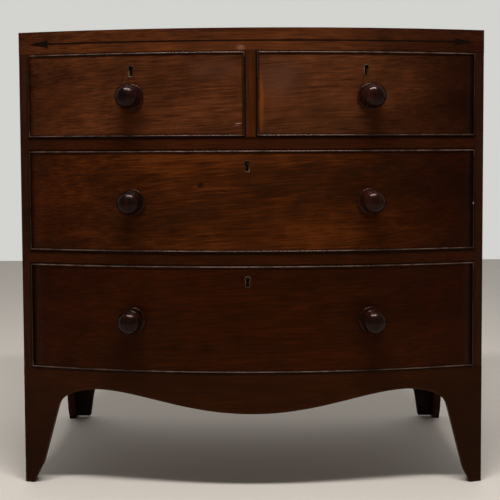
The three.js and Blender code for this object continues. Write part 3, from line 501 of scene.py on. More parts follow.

# The four fronts were cut from different boards, so each has its own shades and marks. Some patches are
# painted light, though: shade towards the right, sheen near the muntin and the shadow under a knob.
frontLooks = {
    "short_left": {
        "shades": ((96, 49, 24), (72, 36, 17), (49, 22, 10)), "shift": (0.13, 0.0, 0.31), "tilt": 4,
        "patches": [
            (("x", 0.6, 0.55, 0.55), (-0.41, 0.76), (0.13, 0.13), 0.9, 0.9),
            # painted sheen: a paler haze near the muntin, greyish towards the top
            (("x", 1.35, 1.38, 1.35), (-0.07, 0.75), (0.12, 0.08), 0.9, 0.85),
            ((88, 55, 42), (-0.07, 0.815), (0.07, 0.028), 0.9, 0.35),
            # painted shadow under the knob
            (("x", 0.5, 0.48, 0.5), (-0.215, 0.72), (0.05, 0.024), 0.9, 0.7),
            ((176, 138, 114), (-0.0235, 0.7125), (0.008, 0.0009), 0.5, 0.8),
            ((150, 112, 90), (-0.027, 0.7092), (0.006, 0.0007), 0.6, 0.6),
        ],
    },
    "short_right": {
        "shades": ((96, 51, 27), (73, 38, 19), (50, 23, 11)), "shift": (0.83, 0.0, 0.12), "tilt": 4,
        "patches": [
            ((118, 56, 16), (0.019, 0.75), (0.008, 0.065), 0.6, 0.6, 0.3),
            # painted sheen: a greyish haze near the muntin
            ((90, 58, 46), (0.06, 0.80), (0.06, 0.05), 0.9, 0.36),
            # these two are painted shade: darker towards the right, where less light falls
            (("x", 0.1, 0.04, 0.06), (0.45, 0.75), (0.3, 0.55), 0.95, 0.95),
            (("x", 0.6, 0.55, 0.55), (0.3, 0.72), (0.12, 0.04), 0.9, 0.7),
        ],
    },
    "long_upper": {
        "shades": ((84, 39, 12), (58, 24, 6), (36, 14, 4)), "shift": (0.4, 0.0, 0.63), "tilt": 4,
        "figure": 0.9,
        "patches": [
            # painted shade: darker towards the right, where less light falls
            (("x", 0.16, 0.06, 0.1), (0.46, 0.56), (0.36, 0.6), 0.95, 0.95),
            (("x", 0.66, 0.5, 0.55), (-0.44, 0.56), (0.2, 0.3), 0.9, 0.8),
            ((20, 10, 8), (-0.0965, 0.5955), (0.0075, 0.0062), 0.35, 0.9, 0.5),
            (("x", 0.6, 0.5, 0.5), (0.02, 0.5), (0.1, 0.03), 0.9, 0.5),
            (("x", 1.2, 1.22, 1.2), (-0.05, 0.57), (0.16, 0.05), 0.9, 0.7),
        ],
    },
    "long_lower": {
        "shades": ((54, 17, 3), (36, 10, 2), (23, 5, 1)), "shift": (0.95, 0.0, 0.02), "tilt": 3,
        "figure": 0.6,
        "patches": [
            # painted shade: darker towards the right, where less light falls
            (("x", 0.55, 0.42, 0.5), (0.43, 0.34), (0.26, 0.3), 0.95, 0.9),
            (("x", 0.62, 0.5, 0.55), (-0.43, 0.34), (0.24, 0.3), 0.95, 0.8),
        ],
    },
}
for name, look in frontLooks.items():
    finishes[name] = makeWood(name + "_mahogany", {
        **caseLook, "wander": 0.03, "ripple": 0.35, "border": name + "_front", **look})


def placeMesh(name, mesh, finish, body, replaced, smoothAngle):
    mesh.name = name
    mesh.materials.clear()
    mesh.materials.append(finishes[finish])
    mesh.polygons.foreach_set("use_smooth", [True] * len(mesh.polygons))
    mesh.set_sharp_from_angle(angle=radians(smoothAngle))
    piece = newObject(name, mesh)
    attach(piece, body)
    if replaced:
        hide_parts(*replaced)


def finishPiece(name, work, finish, body, replaced, smoothAngle=32):
    mesh = bpy.data.meshes.new(name)
    work.to_mesh(mesh)
    work.free()
    placeMesh(name, mesh, finish, body, replaced, smoothAngle)


mending = {"merge": 0.00002, "flat": 0.3, "easeSteps": 2}


def mergedCopy(nodeName):
    # The node's own mesh, its loose triangles merged and its flat faces whole again.
    work = bmesh.new()
    work.from_mesh(nodes[nodeName].data)
    bmesh.ops.remove_doubles(work, verts=work.verts, dist=mending["merge"])
    bmesh.ops.dissolve_limit(work, angle_limit=radians(mending["flat"]), verts=work.verts, edges=work.edges)
    return work


def easeRim(work, face, ease):
    bmesh.ops.bevel(work, geom=list(face.edges), offset=ease, segments=mending["easeSteps"], profile=0.5,
                    affect="EDGES", clamp_overlap=True)


def splitLargeFaces(work):
    bmesh.ops.triangulate(work, faces=[face for face in work.faces if len(face.verts) > 4])


def smoothCopy(nodeName, finish, body):
    # The node's own joinery, with the bow shaded as one smooth sweep.
    finishPiece(nodeName + "_smooth", mergedCopy(nodeName), finish, body, [nodeName], 20)


def joinRows(work, rows):
    # Faces from each row of corners to the next.
    faces = []
    for near, far in rows:
        for step in range(len(near)):
            following = (step + 1) % len(near)
            faces.append(work.faces.new((near[step], near[following], far[following], far[step])))
    return faces


def ringedMesh(rings, closed=False):
    # Rings of (place, edge value), joined one to the next and closed at both ends.
    work = bmesh.new()
    edge = work.verts.layers.float.new("edge")
    made = []
    for ring in rings:
        row = []
        for place, value in ring:
            vertex = work.verts.new(place)
            vertex[edge] = value
            row.append(vertex)
        made.append(row)
    joinRows(work, list(zip(made, made[1:])) + ([(made[-1], made[0])] if closed else []))
    if not closed:
        work.faces.new(made[0][::-1])
        work.faces.new(made[-1])
    bmesh.ops.recalc_face_normals(work, faces=work.faces)
    return work


def between(low, high, count):
    return [low + (high - low) * step / count for step in range(count + 1)]


print("case")
topBoard = {"ease": 0.0009, "roundShare": 0.3, "inset": 0.0033, "stations": 72, "frontBand": 0.006,
            "rearBand": 0.008}


def makeTop():
    low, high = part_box("top_board")
    ease = topBoard["ease"]
    soft = ease * topBoard["roundShare"]
    rings = []
    for x in between(low[0], high[0], topBoard["stations"]):
        front = bowY(x, -topBoard["inset"])
        level = high[2] - (0.0 if min(x - low[0], high[0] - x) > 0 else soft)
        section = [(front, low[2], 0.2), (front, high[2] - soft, 0.2), (front + soft, level, 0.8),
                   (front + topBoard["frontBand"], level, 0.1), ((front + high[1]) / 2, level, 0.0),
                   (high[1] - topBoard["rearBand"], level, 0.1), (high[1] - ease, level, 0.8),
                   (high[1], high[2] - ease, 0.8), (high[1], low[2], 0.2)]
        rings.append([(Vector((x, y, z)), value) for y, z, value in section])
    finishPiece("top_board_eased", ringedMesh(rings), "top", "carcass", ["top_board"])


makeTop()
for nodeName, finish in (("upper_rail", "rail"), ("lower_rail", "rail"), ("muntin", "muntin"),
                         ("frieze_facing", "frieze")):
    smoothCopy(nodeName, finish, "carcass")
smoothCopy("line_inlay", "ebony", "carcass")

# The bracket foot and the arch, measured in from the case's outer edge: [inward, height].
footShape = {
    "toe": (0.023, 0.0), "ankle": (0.037, 0.027), "waist": (0.070, 0.152),
    "wornToe": (0.0172, 0.0), "wornAnkle": (0.0384, 0.040), "waver": 0.0008,
    "arch": (0.152, 0.196), "bends": ((0.07738, 0.18016), (0.10116, 0.19204)),
}


def bezier(points, count):
    made = []
    for share in between(0.0, 1.0, count):
        rest = 1 - share
        weights = (rest ** 3, 3 * rest * rest * share, 3 * rest * share * share, share ** 3)
        made.append(tuple(sum(weight * point[axis] for weight, point in zip(weights, points))
                          for axis in (0, 1)))
    return made


def footCurve(worn=False):
    # Up the inner edge of a foot and into the arch, with the worn toe a little ragged.
    toe, ankle = footShape["wornToe" if worn else "toe"], footShape["wornAnkle" if worn else "ankle"]
    waist, arch = footShape["waist"], footShape["arch"]
    ragged = [(toe[0] + (ankle[0] - toe[0]) * share + footShape["waver"] * sin(share * 17), ankle[1] * share)
              for share in between(0.0, 1.0, 7)[:-1]]
    shin = [(ankle[0] + (waist[0] - ankle[0]) * share, ankle[1] + (waist[1] - ankle[1]) * share)
            for share in between(0.0, 1.0, 16)[:-1]]
    return ragged + shin + bezier([waist, *footShape["bends"], arch], 20)


apronShape = {
    "middleHeight": 0.154, "bends": (0.71, 0.43), "toeSteps": (0.0, 0.003, 0.012), "thickness": 0.020,
    "ease": 0.0009, "mostEase": 0.006, "band": 0.005, "topBand": 0.006,
    "glueBlock": {"inset": 0.017, "width": 0.02, "front": 0.018, "depth": 0.03, "heights": (0.072, 0.217)},
}


def makeApron():
    half, ease, depth = bow["half"], apronShape["ease"], apronShape["thickness"]
    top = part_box("front_apron")[1][2]
    archX, archZ = half - footShape["arch"][0], footShape["arch"][1]
    middleZ, bends = apronShape["middleHeight"], apronShape["bends"]
    drop = bezier([(archX, archZ), (archX * bends[0], archZ), (archX * bends[1], middleZ),
                   (0.0, middleZ)], 36)
    right, left = ([(half - inward, 0.0) for inward in apronShape["toeSteps"]]
                   + [(half - inward, height) for inward, height in footCurve(worn)] + drop[1:]
                   for worn in (False, True))
    outline = sorted(set([(-x, z) for x, z in left] + right))
    rings = []
    for index, (x, bottom) in enumerate(outline):
        before, after = outline[max(index - 1, 0)], outline[min(index + 1, len(outline) - 1)]
        slope = (after[1] - before[1]) / max(after[0] - before[0], 1e-6)
        rise = min(ease * sqrt(1 + slope * slope), apronShape["mostEase"])
        corner = 1.0 if abs(x) > half - 0.001 else 0.0
        # how far out of the front, height, edge value
        section = [(0.0, bottom + rise, 0.9), (0.0, bottom + rise + apronShape["band"], corner),
                   (0.0, (bottom + top) / 2, corner), (0.0, top - apronShape["topBand"], corner),
                   (0.0, top - ease * 0.5, 0.7), (-ease * 0.5, top, 0.7), (-depth, top, 0.0),
                   (-depth, bottom + rise, 0.1), (-depth + ease, bottom, 0.6), (-ease, bottom, 0.9)]
        rings.append([(Vector((x, bowY(x, outward), z)), value) for outward, z, value in section])
    work = ringedMesh(rings)
    block = apronShape["glueBlock"]
    inner = half - block["inset"]
    for side in (-1, 1):
        # The glue block behind each front foot.
        ends = sorted((side * inner, side * (inner - block["width"])))
        faces = (bowY(inner, -block["front"]), bowY(inner, -depth) + block["depth"])
        corners = [work.verts.new((x, y, z)) for x in ends for y in faces for z in block["heights"]]
        made = [work.faces.new([corners[i] for i in indices]) for indices in (
            (0, 1, 3, 2), (4, 6, 7, 5), (0, 4, 5, 1), (2, 3, 7, 6), (0, 2, 6, 4), (1, 5, 7, 3))]
        bmesh.ops.recalc_face_normals(work, faces=made)
    finishPiece("front_apron_eased", work, "apron", "carcass", ["front_apron"], 40)


makeApron()

sideBoard = {"ease": 0.0008, "depth": 0.45, "inner": 0.438, "backThickness": 0.012, "backGap": 0.004,
             "backFoot": 0.217, "apronBack": 0.0203, "facingBack": 0.0033, "baseHeight": 0.233,
             "friezeFloor": 0.849, "edge": 0.5}


def sideOutline(low, high, backY):
    # Round the board as (y, z, how far the y stands behind the bow).
    rear, top, foot = high[1], high[2], footCurve()
    points = [(rear - sideBoard["depth"] + inward, height, None) for inward, height in foot]
    points += [(rear - inward, height, None) for inward, height in reversed(foot)] + [(rear, 0.0, None)]
    if backY < rear:
        points += [(rear, sideBoard["backFoot"], None), (backY, sideBoard["backFoot"], None)]
    points.append((backY, top, None))
    for level, inset in ((top, "facingBack"), (sideBoard["friezeFloor"], "facingBack"),
                         (sideBoard["friezeFloor"], None), (sideBoard["baseHeight"], None),
                         (sideBoard["baseHeight"], "apronBack"), (0.0, "apronBack")):
        points.append((None, level, sideBoard[inset] if inset else 0.0))
    return points


def makeSide(name, direction):
    # Two layers: the outer one covers the back boards' ends, the inner one stops in front of them.
    low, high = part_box(name)
    middle = bow["half"] - (sideBoard["backThickness"] - sideBoard["backGap"])
    work = bmesh.new()
    edge = work.verts.layers.float.new("edge")
    for near, far, backY in ((middle, bow["half"], high[1]),
                             (sideBoard["inner"], middle, high[1] - sideBoard["backThickness"])):
        rows = []
        for x in (near, far):
            row = []
            for y, z, inset in sideOutline(low, high, backY):
                vertex = work.verts.new((direction * x, bowY(x, -inset) if y is None else y, z))
                vertex[edge] = sideBoard["edge"]
                row.append(vertex)
            rows.append(row)
        faces = [work.faces.new(rows[0][::-1]), work.faces.new(rows[1])] + joinRows(work, [rows])
        bmesh.ops.recalc_face_normals(work, faces=faces)
        if far == bow["half"]:
            easeRim(work, faces[1], sideBoard["ease"])
    splitLargeFaces(work)
    finishPiece(name + "_eased", work, "side", "carcass", [name], 30)


makeSide("side_left", -1)
makeSide("side_right", 1)

print("drawer fronts and beads")
for name in drawerNames:
    smoothCopy(name + "_front", name, name + "_drawer")

# The pale band on the beads is partly wear and partly a painted highlight; the last two values set where it
# is full and how faint it is elsewhere.
beadShape = {"width": 0.003, "depth": 0.006, "rise": 0.002, "shoulder": 0.0007, "noseSteps": 8,
             "stations": (44, 12), "waver": 0.00012, "wornAndLitShare": 0.55, "lowerWearAndHighlight": 0.1}


def beadProfile():
    # Across the bead: how far in from the drawer's edge, how far out of the front, and how pale: worn, and
    # on the nose partly a painted highlight.
    width, shoulder = beadShape["width"], beadShape["shoulder"]
    profile = [(0.0, -beadShape["depth"], 0.0), (0.0, shoulder, 0.3)]
    for step in range(1, beadShape["noseSteps"]):
        angle = pi * step / beadShape["noseSteps"]
        lift = sin(angle) ** 0.8
        profile.append((width / 2 - width / 2 * cos(angle),
                        shoulder + (beadShape["rise"] - shoulder) * lift, 0.3 + 0.7 * lift))
    return profile + [(width, shoulder, 0.3), (width, -beadShape["depth"], 0.0)]


def makeBead(name):
    # Round the drawer from its lower left corner. Only what looks up on the top and bottom runs is pale:
    # rubbed, and partly a painted highlight from the light above.
    low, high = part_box(name + "_bead")
    profile = beadProfile()
    corners = [(low[0], low[2]), (high[0], low[2]), (high[0], high[2]), (low[0], high[2])]
    inward = [(1, 1), (-1, 1), (-1, -1), (1, -1)]
    half = beadShape["width"] * beadShape["wornAndLitShare"]
    rings = []
    for side in range(4):
        following = (side + 1) % 4
        for share in between(0.0, 1.0, beadShape["stations"][side % 2])[:-1]:
            ring = []
            for index, (inset, outward, worn) in enumerate(profile):
                start, end = ([corners[at][axis] + inward[at][axis] * inset for axis in (0, 1)]
                              for at in (side, following))
                x, z = (start[axis] + (end[axis] - start[axis]) * share for axis in (0, 1))
                waver = beadShape["waver"] * sin(x * 61 + z * 83) if 0 < index < len(profile) - 1 else 0.0
                # upward halves of the top and bottom runs get the full pale value: painted highlight as well
                # as wear
                upper = (side == 0 and inset > half) or (side == 2 and inset < half)
                ring.append((Vector((x, bowY(x, outward - abs(waver)), z)),
                             worn * (1.0 if upper else beadShape["lowerWearAndHighlight"])))
            rings.append(ring)
    finishPiece(name + "_bead_rounded", ringedMesh(rings, closed=True), "bead", name + "_drawer",
                [name + "_bead"], 50)


for name in drawerNames:
    makeBead(name)

print("knobs")
knobShape = {
    "segments": 48, "merge": 0.00001,
    # Radius and height over the front in millimetres: points, and arcs as centre, size, degrees and steps.
    "profile": [
        (0.0, -19.0), (6.5, -19.0), (6.5, 0.35), (23.2, 0.35),                 # dowel and underside
        ((23.4, 2.6), (1.9, 2.2), -80, 78, 7), (22.3, 5.1), (21.0, 5.4),       # rim of the base
        ((20.6, 11.0), (7.0, 5.6), -94, -172, 7), (13.6, 12.3),                # cove in to the neck
        ((18.6, 17.4), (3.4, 3.7), -112, 60, 10), (20.5, 21.2),                # first ring of the head
        ((20.5, 24.5), (3.1, 3.3), -78, 68, 10), (21.6, 28.1), (22.3, 28.5),   # second ring
        ((0.0, 28.7), (23.2, 21.0), 3, 90, 20),                                # dome
    ],
    "places": {"short_left": [(-0.2295, 0.764)], "short_right": [(0.2277, 0.7632)],
               "long_upper": [(-0.2279, 0.563), (0.2277, 0.5635)],
               "long_lower": [(-0.2295, 0.335), (0.2293, 0.335)]},
}


def knobProfile():
    profile = []
    for item in knobShape["profile"]:
        if len(item) == 2:
            profile.append(item)
            continue
        centre, size, fromAngle, toAngle, count = item
        profile += [(centre[0] + size[0] * cos(radians(angle)), centre[1] + size[1] * sin(radians(angle)))
                    for angle in between(fromAngle, toAngle, count)]
    profile[-1] = (0.0, profile[-1][1])
    return [(radius * 0.001, height * 0.001) for radius, height in profile]


def closeGrowth(tree, instances, finish):
    real = put(tree, "GeometryNodeRealizeInstances", {"Geometry": instances})
    finished = put(tree, "GeometryNodeSetMaterial", {"Geometry": real.outputs[0], "Material": finish})
    return closeGroup(tree, {"Geometry": finished.outputs[0]})


def makeKnobTree():
    # A grid of rows by segments, wrapped round the turning axis with the profile's radii.
    tree, given = newGroup("turned_knobs", {
        "Geometry": "Geometry", "Segments": 48, "Rows": 10, "Count": 1, "First Place": "Vector",
        "Second Place": "Vector", "First Turn": 0.0, "Second Turn": 0.0, "Finish": "Material"},
        "GeometryNodeTree")
    grid = put(tree, "GeometryNodeMeshGrid", {"Size X": 1.0, "Size Y": 1.0, "Vertices X": given["Rows"],
                                              "Vertices Y": reckon(tree, "ADD", given["Segments"], 1.0)})
    position = put(tree, "GeometryNodeInputPosition", {}).outputs[0]
    parts = parted(tree, position)
    last = reckon(tree, "SUBTRACT", given["Rows"], 1.0)
    row = reckon(tree, "ROUND", times(tree, reckon(tree, "ADD", parts[0], 0.5), last))
    angle = times(tree, reckon(tree, "ADD", parts[1], 0.5), 2 * pi)
    sampled = put(tree, "GeometryNodeSampleIndex", {"Geometry": given["Geometry"], "Value": position,
                                                    "Index": row}, data_type="FLOAT_VECTOR", domain="POINT")
    radius, height = parted(tree, sampled.outputs[0])[:2]
    wrapped = joined(tree, times(tree, radius, reckon(tree, "COSINE", angle)),
                     times(tree, height, -1.0),
                     times(tree, radius, reckon(tree, "SINE", angle)))
    lathe = put(tree, "GeometryNodeSetPosition", {"Geometry": grid.outputs["Mesh"], "Position": wrapped})
    closed = put(tree, "GeometryNodeMergeByDistance", {"Geometry": lathe.outputs[0],
                                                       "Distance": knobShape["merge"]})
    # One or two places on the front.
    index = put(tree, "GeometryNodeInputIndex", {}).outputs[0]
    spot = put(tree, "ShaderNodeMix", {"Factor": index, 4: given["First Place"], 5: given["Second Place"]},
               data_type="VECTOR").outputs[1]
    lean = put(tree, "ShaderNodeMix", {"Factor": index, 2: given["First Turn"], 3: given["Second Turn"]},
               data_type="FLOAT").outputs[0]
    points = put(tree, "GeometryNodePoints", {"Count": given["Count"], "Position": spot})
    placed = put(tree, "GeometryNodeInstanceOnPoints", {
        "Points": points.outputs[0], "Instance": closed.outputs[0], "Rotation": joined(tree, z=lean)})
    return closeGrowth(tree, placed.outputs[0], given["Finish"])


def growMesh(name, points, edges, tree, values):
    # Runs a tree on a start mesh of points and lines, and keeps the plain result.
    start = bpy.data.meshes.new(name + "_start")
    start.from_pydata(points, edges, [])
    carrier = newObject(name + "_carrier", start)
    modifier = carrier.modifiers.new(name, "NODES")
    modifier.node_group = tree
    for item in tree.interface.items_tree:
        if item.item_type == "SOCKET" and item.in_out == "INPUT" and item.name in values:
            modifier[item.identifier] = values[item.name]
    graph = bpy.context.evaluated_depsgraph_get()
    graph.update()
    mesh = bpy.data.meshes.new_from_object(carrier.evaluated_get(graph), depsgraph=graph)
    carrier.modifiers.clear()
    bpy.data.objects.remove(carrier)
    return mesh


knobTree = makeKnobTree()


def makeKnobs(name):
    profile = knobProfile()
    spots = knobShape["places"][name]
    places = [bowPlace(x, z) for x, z in spots]
    mesh = growMesh(name + "_knobs", [(radius, height, 0.0) for radius, height in profile],
                    [(step, step + 1) for step in range(len(profile) - 1)], knobTree, {
        "Segments": knobShape["segments"], "Rows": len(profile), "Count": len(spots),
        "First Place": places[0][0], "Second Place": places[-1][0],
        "First Turn": places[0][1], "Second Turn": places[-1][1], "Finish": finishes["knob"]})
    work = bmesh.new()
    work.from_mesh(mesh)
    bmesh.ops.remove_doubles(work, verts=work.verts, dist=knobShape["merge"])
    bmesh.ops.recalc_face_normals(work, faces=work.faces)
    ends = ["_knob"] if len(spots) == 1 else ["_knob_left", "_knob_right"]
    finishPiece(name + "_knobs", work, "knob", name + "_drawer",
                [name + end for end in ends], 34)


for name in drawerNames:
    makeKnobs(name)

print("escutcheons")
keyhole = {
    "height": 0.0184, "eyeDrop": 0.0037, "depth": 0.0025, "proud": 0.00025, "eyeSteps": 20, "leastRub": 0.04,
    "outer": {"eye": 0.00585, "slot": 0.0045, "foot": 0.0022},
    # where each stands, its worn opening, and which way its rubbed side looks
    "locks": {
        "short_left": {"across": -0.229, "eye": 0.0044, "slot": 0.0034, "rubbed": (-0.8, -0.6)},
        "short_right": {"across": 0.220, "eye": 0.0045, "slot": 0.0036, "rubbed": (-0.8, 0.6)},
        "long_upper": {"across": -0.0075, "eye": 0.0046, "slot": 0.0035, "rubbed": (0.7, -0.7)},
        "long_lower": {"across": -0.0075, "eye": 0.0045, "slot": 0.0033, "rubbed": (0.0, 1.0)},
    },
}


def keyholeOutline(eye, slot, drop):
    eyeZ = keyhole["height"] / 2 - keyhole["eyeDrop"]
    meet = asin(slot / eye)
    foot = -keyhole["height"] / 2 - drop
    points = [(-slot, foot), (0.0, foot), (slot, foot)]
    for angle in between(meet - pi / 2, 1.5 * pi - meet, keyhole["eyeSteps"]):
        points.append((eye * cos(angle), eyeZ + eye * sin(angle)))
    return points


def makeEscutcheon(name):
    low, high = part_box(name + "_escutcheon")
    lock, outer = keyhole["locks"][name], keyhole["outer"]
    seat = bowSeat(lock["across"], (low[2] + high[2]) / 2)[0]
    depth, proud, least = keyhole["depth"], keyhole["proud"], keyhole["leastRub"]
    # across the brass: share of the way out, how far it stands out, how rubbed
    section = [(0.0, -depth, 0.0), (0.0, 0.0, 0.9), (0.2, proud * 0.8, 1.0), (0.5, proud, 0.6),
               (0.85, proud * 0.7, 0.2), (1.0, 0.0, 0.0), (1.0, -depth, 0.0)]
    columns = [keyholeOutline(lock["eye"] + (outer["eye"] - lock["eye"]) * share,
                              lock["slot"] + (outer["slot"] - lock["slot"]) * share, outer["foot"] * share)
               for share, outward, value in section]
    rings = []
    for step, start in enumerate(columns[0]):
        facing = max(Vector(start).normalized().dot(Vector(lock["rubbed"])), 0.0) ** 2
        rings.append([(seat @ Vector((column[step][0], -outward, column[step][1])),
                       value * (least + (1 - least) * facing))
                      for column, (share, outward, value) in zip(columns, section)])
    finishPiece(name + "_escutcheon_rounded", ringedMesh(rings, closed=True), "brass", name + "_drawer",
                [name + "_escutcheon"], 40)


for name in drawerNames:
    makeEscutcheon(name)

print("kept pieces")
keptFinishes = {"_side_left": "oak", "_side_right": "oak", "_back": "oakAcross", "_floor": "oak",
                "_lock_case": "iron", "_lock_bolt": "brass"}


def dress(nodeName, finish):
    materials = nodes[nodeName].data.materials
    if not len(materials):
        materials.append(finishes[finish])
    for index in range(len(materials)):
        materials[index] = finishes[finish]


for name in drawerNames:
    for end, finish in keptFinishes.items():
        dress(name + end, finish)
for nodeName in ("frieze_frame", "upper_dustboard", "lower_dustboard", "drawer_guide", "bottom_board"):
    dress(nodeName, "pine")
for nodeName in ("rear_bracket_left", "rear_bracket_right"):
    dress(nodeName, "bracket")

print("back boards, nails and screws")
backBoards = {"sunk": 0.0006, "ease": 0.0016, "band": 0.008, "edge": 0.8,
              "nails": {"radius": 0.0037, "height": 0.0005, "spacing": 0.088, "inset": 0.023,
                        "sideInset": 0.004, "footInset": 0.034, "footLevel": 0.008, "seed": 5}}
lockScrews = {"plate": {"radius": 0.0031, "height": 0.0006, "across": 0.0235, "below": (0.009, 0.041)},
              "selvedge": {"radius": 0.0021, "height": 0.0002, "across": 0.0285},
              "frontThickness": 0.022, "lockThickness": 0.011, "slotShare": 0.24, "seed": 3}
headShape = {"sides": 14, "topShare": 0.72, "slotLength": 3.0, "spin": 1.6}


def makeBackBoard(nodeName, finish):
    # The board with its drawer stops, its outer face sunk a hair so the nail heads stay level with the case.
    work = mergedCopy(nodeName)
    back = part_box(nodeName)[1][1]
    edge = work.verts.layers.float.new("edge")
    for vertex in work.verts:
        if vertex.co.y > back - mending["merge"]:
            vertex.co.y = back - backBoards["sunk"]
            vertex[edge] = backBoards["edge"]

    def outerFace():
        return max(work.faces, key=lambda face: face.calc_center_median().y)

    easeRim(work, outerFace(), backBoards["ease"])
    bmesh.ops.inset_individual(work, faces=[outerFace()], thickness=backBoards["band"])
    for vertex in max(work.faces, key=lambda face: face.calc_area()).verts:
        vertex[edge] = 0.0
    splitLargeFaces(work)
    finishPiece(nodeName + "_eased", work, finish, "carcass", [nodeName], 30)


def makeHeadTree(name, alongLine):
    # Nail or screw heads: spaced along a line, or one at each point of the start mesh.
    tree, given = newGroup(name, {
        "Geometry": "Geometry", "Radius": 0.003, "Height": 0.0005, "Slot": 0.0008, "Spacing": 0.09,
        "Turn": "Vector", "Seed": 1, "Finish": "Material"}, "GeometryNodeTree")
    head = put(tree, "GeometryNodeMeshCone", {
        "Vertices": headShape["sides"], "Radius Bottom": given["Radius"], "Depth": given["Height"],
        "Radius Top": times(tree, given["Radius"], headShape["topShare"])}).outputs["Mesh"]
    points = given["Geometry"]
    if alongLine:
        curve = put(tree, "GeometryNodeMeshToCurve", {"Mesh": points}).outputs[0]
        points = put(tree, "GeometryNodeResampleCurve", {"Curve": curve, "Length": given["Spacing"]},
                     mode="LENGTH").outputs[0]
    else:
        length = times(tree, given["Radius"], headShape["slotLength"])
        size = joined(tree, length, given["Slot"], given["Height"])
        bar = put(tree, "GeometryNodeMeshCube", {"Size": size})
        raised = put(tree, "GeometryNodeTransform", {"Geometry": bar.outputs["Mesh"],
                                                     "Translation": joined(tree, z=given["Height"])})
        head = put(tree, "GeometryNodeMeshBoolean", {"Mesh 1": head, "Mesh 2": raised.outputs[0]},
                   operation="DIFFERENCE").outputs["Mesh"]
    placed = put(tree, "GeometryNodeInstanceOnPoints", {"Points": points, "Instance": head,
                                                        "Rotation": given["Turn"]})
    # sockets 2 and 3 are the least and most of a plain number
    chance = put(tree, "FunctionNodeRandomValue", {2: -headShape["spin"], 3: headShape["spin"],
                                                   "Seed": given["Seed"]}, data_type="FLOAT").outputs[1]
    turned = put(tree, "GeometryNodeRotateInstances", {"Instances": placed.outputs[0], "Local Space": True,
                                                       "Rotation": joined(tree, z=chance)})
    return closeGrowth(tree, turned.outputs[0], given["Finish"])


def growHeads(name, tree, points, edges, sizes, values, body):
    mesh = growMesh(name, points, edges, tree, {
        "Radius": sizes["radius"], "Height": sizes["height"], "Finish": finishes["iron"], **values})
    placeMesh(name, mesh, "iron", body, None, 25)


def makeNails():
    nails = backBoards["nails"]
    lower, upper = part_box("back_board_lower"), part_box("back_board_upper")
    left, right = lower[0][0] + nails["sideInset"], lower[1][0] - nails["sideInset"]
    y = lower[1][1] - backBoards["sunk"]
    lines = []
    for low, high in (lower, upper):
        bottom, top = low[2] + nails["inset"], high[2] - nails["inset"]
        lines += [((x, y, bottom), (x, y, top)) for x in (left, right)]
    foot = lower[0][2] + nails["footLevel"]
    lines.append(((lower[0][0] + nails["footInset"], y, foot), (lower[1][0] - nails["footInset"], y, foot)))
    growHeads("back_nails", makeHeadTree("back_nails", True), [point for line in lines for point in line],
              [(2 * index, 2 * index + 1) for index in range(len(lines))], nails,
              {"Spacing": nails["spacing"], "Turn": (-pi / 2, 0.0, 0.0), "Seed": nails["seed"]}, "carcass")


def makeLockScrews():
    tree = makeHeadTree("lock_screws", False)
    plate, selvedge = lockScrews["plate"], lockScrews["selvedge"]
    back = lockScrews["frontThickness"]
    for name in drawerNames:
        seat, turn = bowSeat(keyhole["locks"][name]["across"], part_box(name + "_lock_case")[1][2])
        onPlate = [(side * plate["across"], back, -below) for side in (-1, 1) for below in plate["below"]]
        onTop = [(side * selvedge["across"], back - lockScrews["lockThickness"] / 2, 0.0)
                 for side in (-1, 1)]
        for label, spots, sizes, turned in (("plate", onPlate, plate, (-pi / 2, 0.0, turn)),
                                            ("selvedge", onTop, selvedge, (0.0, 0.0, turn))):
            points = [tuple(seat @ Vector(spot)) for spot in spots]
            growHeads(f"{name}_{label}_screws", tree, points, [], sizes, {
                "Slot": sizes["radius"] * lockScrews["slotShare"], "Turn": turned,
                "Seed": lockScrews["seed"]}, name + "_drawer")


makeBackBoard("back_board_lower", "backLower")
makeBackBoard("back_board_upper", "backUpper")
makeNails()
makeLockScrews()

print("floor and lamps")
studio = {
    "floorHalf": 14.0, "floorBack": 3.4, "floorShade": (197, 189, 179), "darkerShare": 0.94,
    "mottle": 1.4, "floorRough": 0.75, "floorSheen": 0.15,
    "background": (211, 211, 208), "glossShare": 0.1,
    "front": (98, 96, 94), "rear": (250, 250, 250), "turnover": (-0.3, 0.7),
    "lamp": {"place": (0.0, -1.0, 2.6), "aim": (0.0, -0.35, 0.5), "size": (1.6, 0.21), "power": 77.0},
}


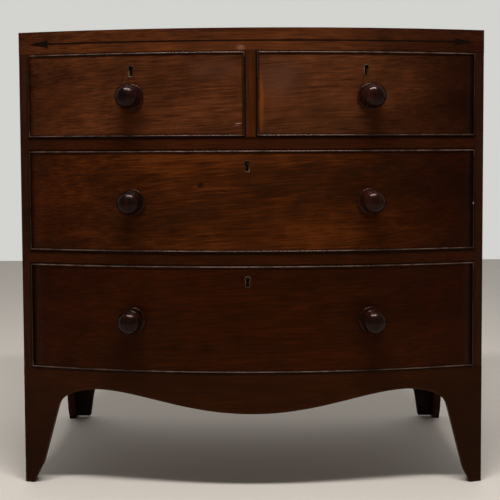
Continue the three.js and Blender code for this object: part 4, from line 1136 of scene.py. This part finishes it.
def makeFloor():
    half, back = studio["floorHalf"], studio["floorBack"]
    mesh = bpy.data.meshes.new("studio_floor")
    mesh.from_pydata([(-half, -half, 0), (half, -half, 0), (half, back, 0), (-half, back, 0)], [],
                     [(0, 1, 2, 3)])
    material, tree, shader, place = newMaterial("studio_floor")
    pale = shade(*studio["floorShade"])
    darker = tuple(value * studio["darkerShare"] for value in pale[:3]) + (1.0,)
    mottle = cloud(tree, place, studio["mottle"], 4, 0.55)
    feed(tree, shader, {"Base Color": blended(tree, mottle, darker, pale), "Roughness": studio["floorRough"],
                        "Specular IOR Level": studio["floorSheen"]})
    mesh.materials.append(material)
    floor = newObject("studio_floor", mesh)


def makeWorld():
    # Soft light, stronger from behind, and a plain pale background for the camera and in glossy things.
    world = bpy.data.worlds.new("studio")
    bpy.context.scene.world = world
    world.use_nodes = True
    tree = world.node_tree
    tree.nodes.clear()
    direction = tree.nodes.new("ShaderNodeTexCoord").outputs["Generated"]
    sky = blended(tree, spread(tree, parted(tree, direction)[1], *studio["turnover"]),
                  shade(*studio["front"]), shade(*studio["rear"]))
    rays = tree.nodes.new("ShaderNodeLightPath").outputs
    gloss = times(tree, rays["Is Glossy Ray"], studio["glossShare"])
    seen = reckon(tree, "MAXIMUM", rays["Is Camera Ray"],
                  reckon(tree, "MAXIMUM", gloss, rays["Is Transmission Ray"]))
    both = blended(tree, seen, sky, shade(*studio["background"]))
    background = put(tree, "ShaderNodeBackground", {"Color": both, "Strength": 1.0})
    put(tree, "ShaderNodeOutputWorld", {"Surface": background.outputs[0]})


def makeLamp(name, setup):
    data = bpy.data.lights.new(name, "AREA")
    data.shape = "RECTANGLE"
    data.size, data.size_y = setup["size"]
    data.energy = setup["power"]
    aim = Vector(setup["aim"]) - Vector(setup["place"])
    turned = aim.to_track_quat("-Z", "Y").to_matrix().to_4x4()
    newObject(name, data).matrix_world = Matrix.Translation(setup["place"]) @ turned


makeFloor()
makeWorld()
makeLamp("overhead_softbox", studio["lamp"])

print("done")
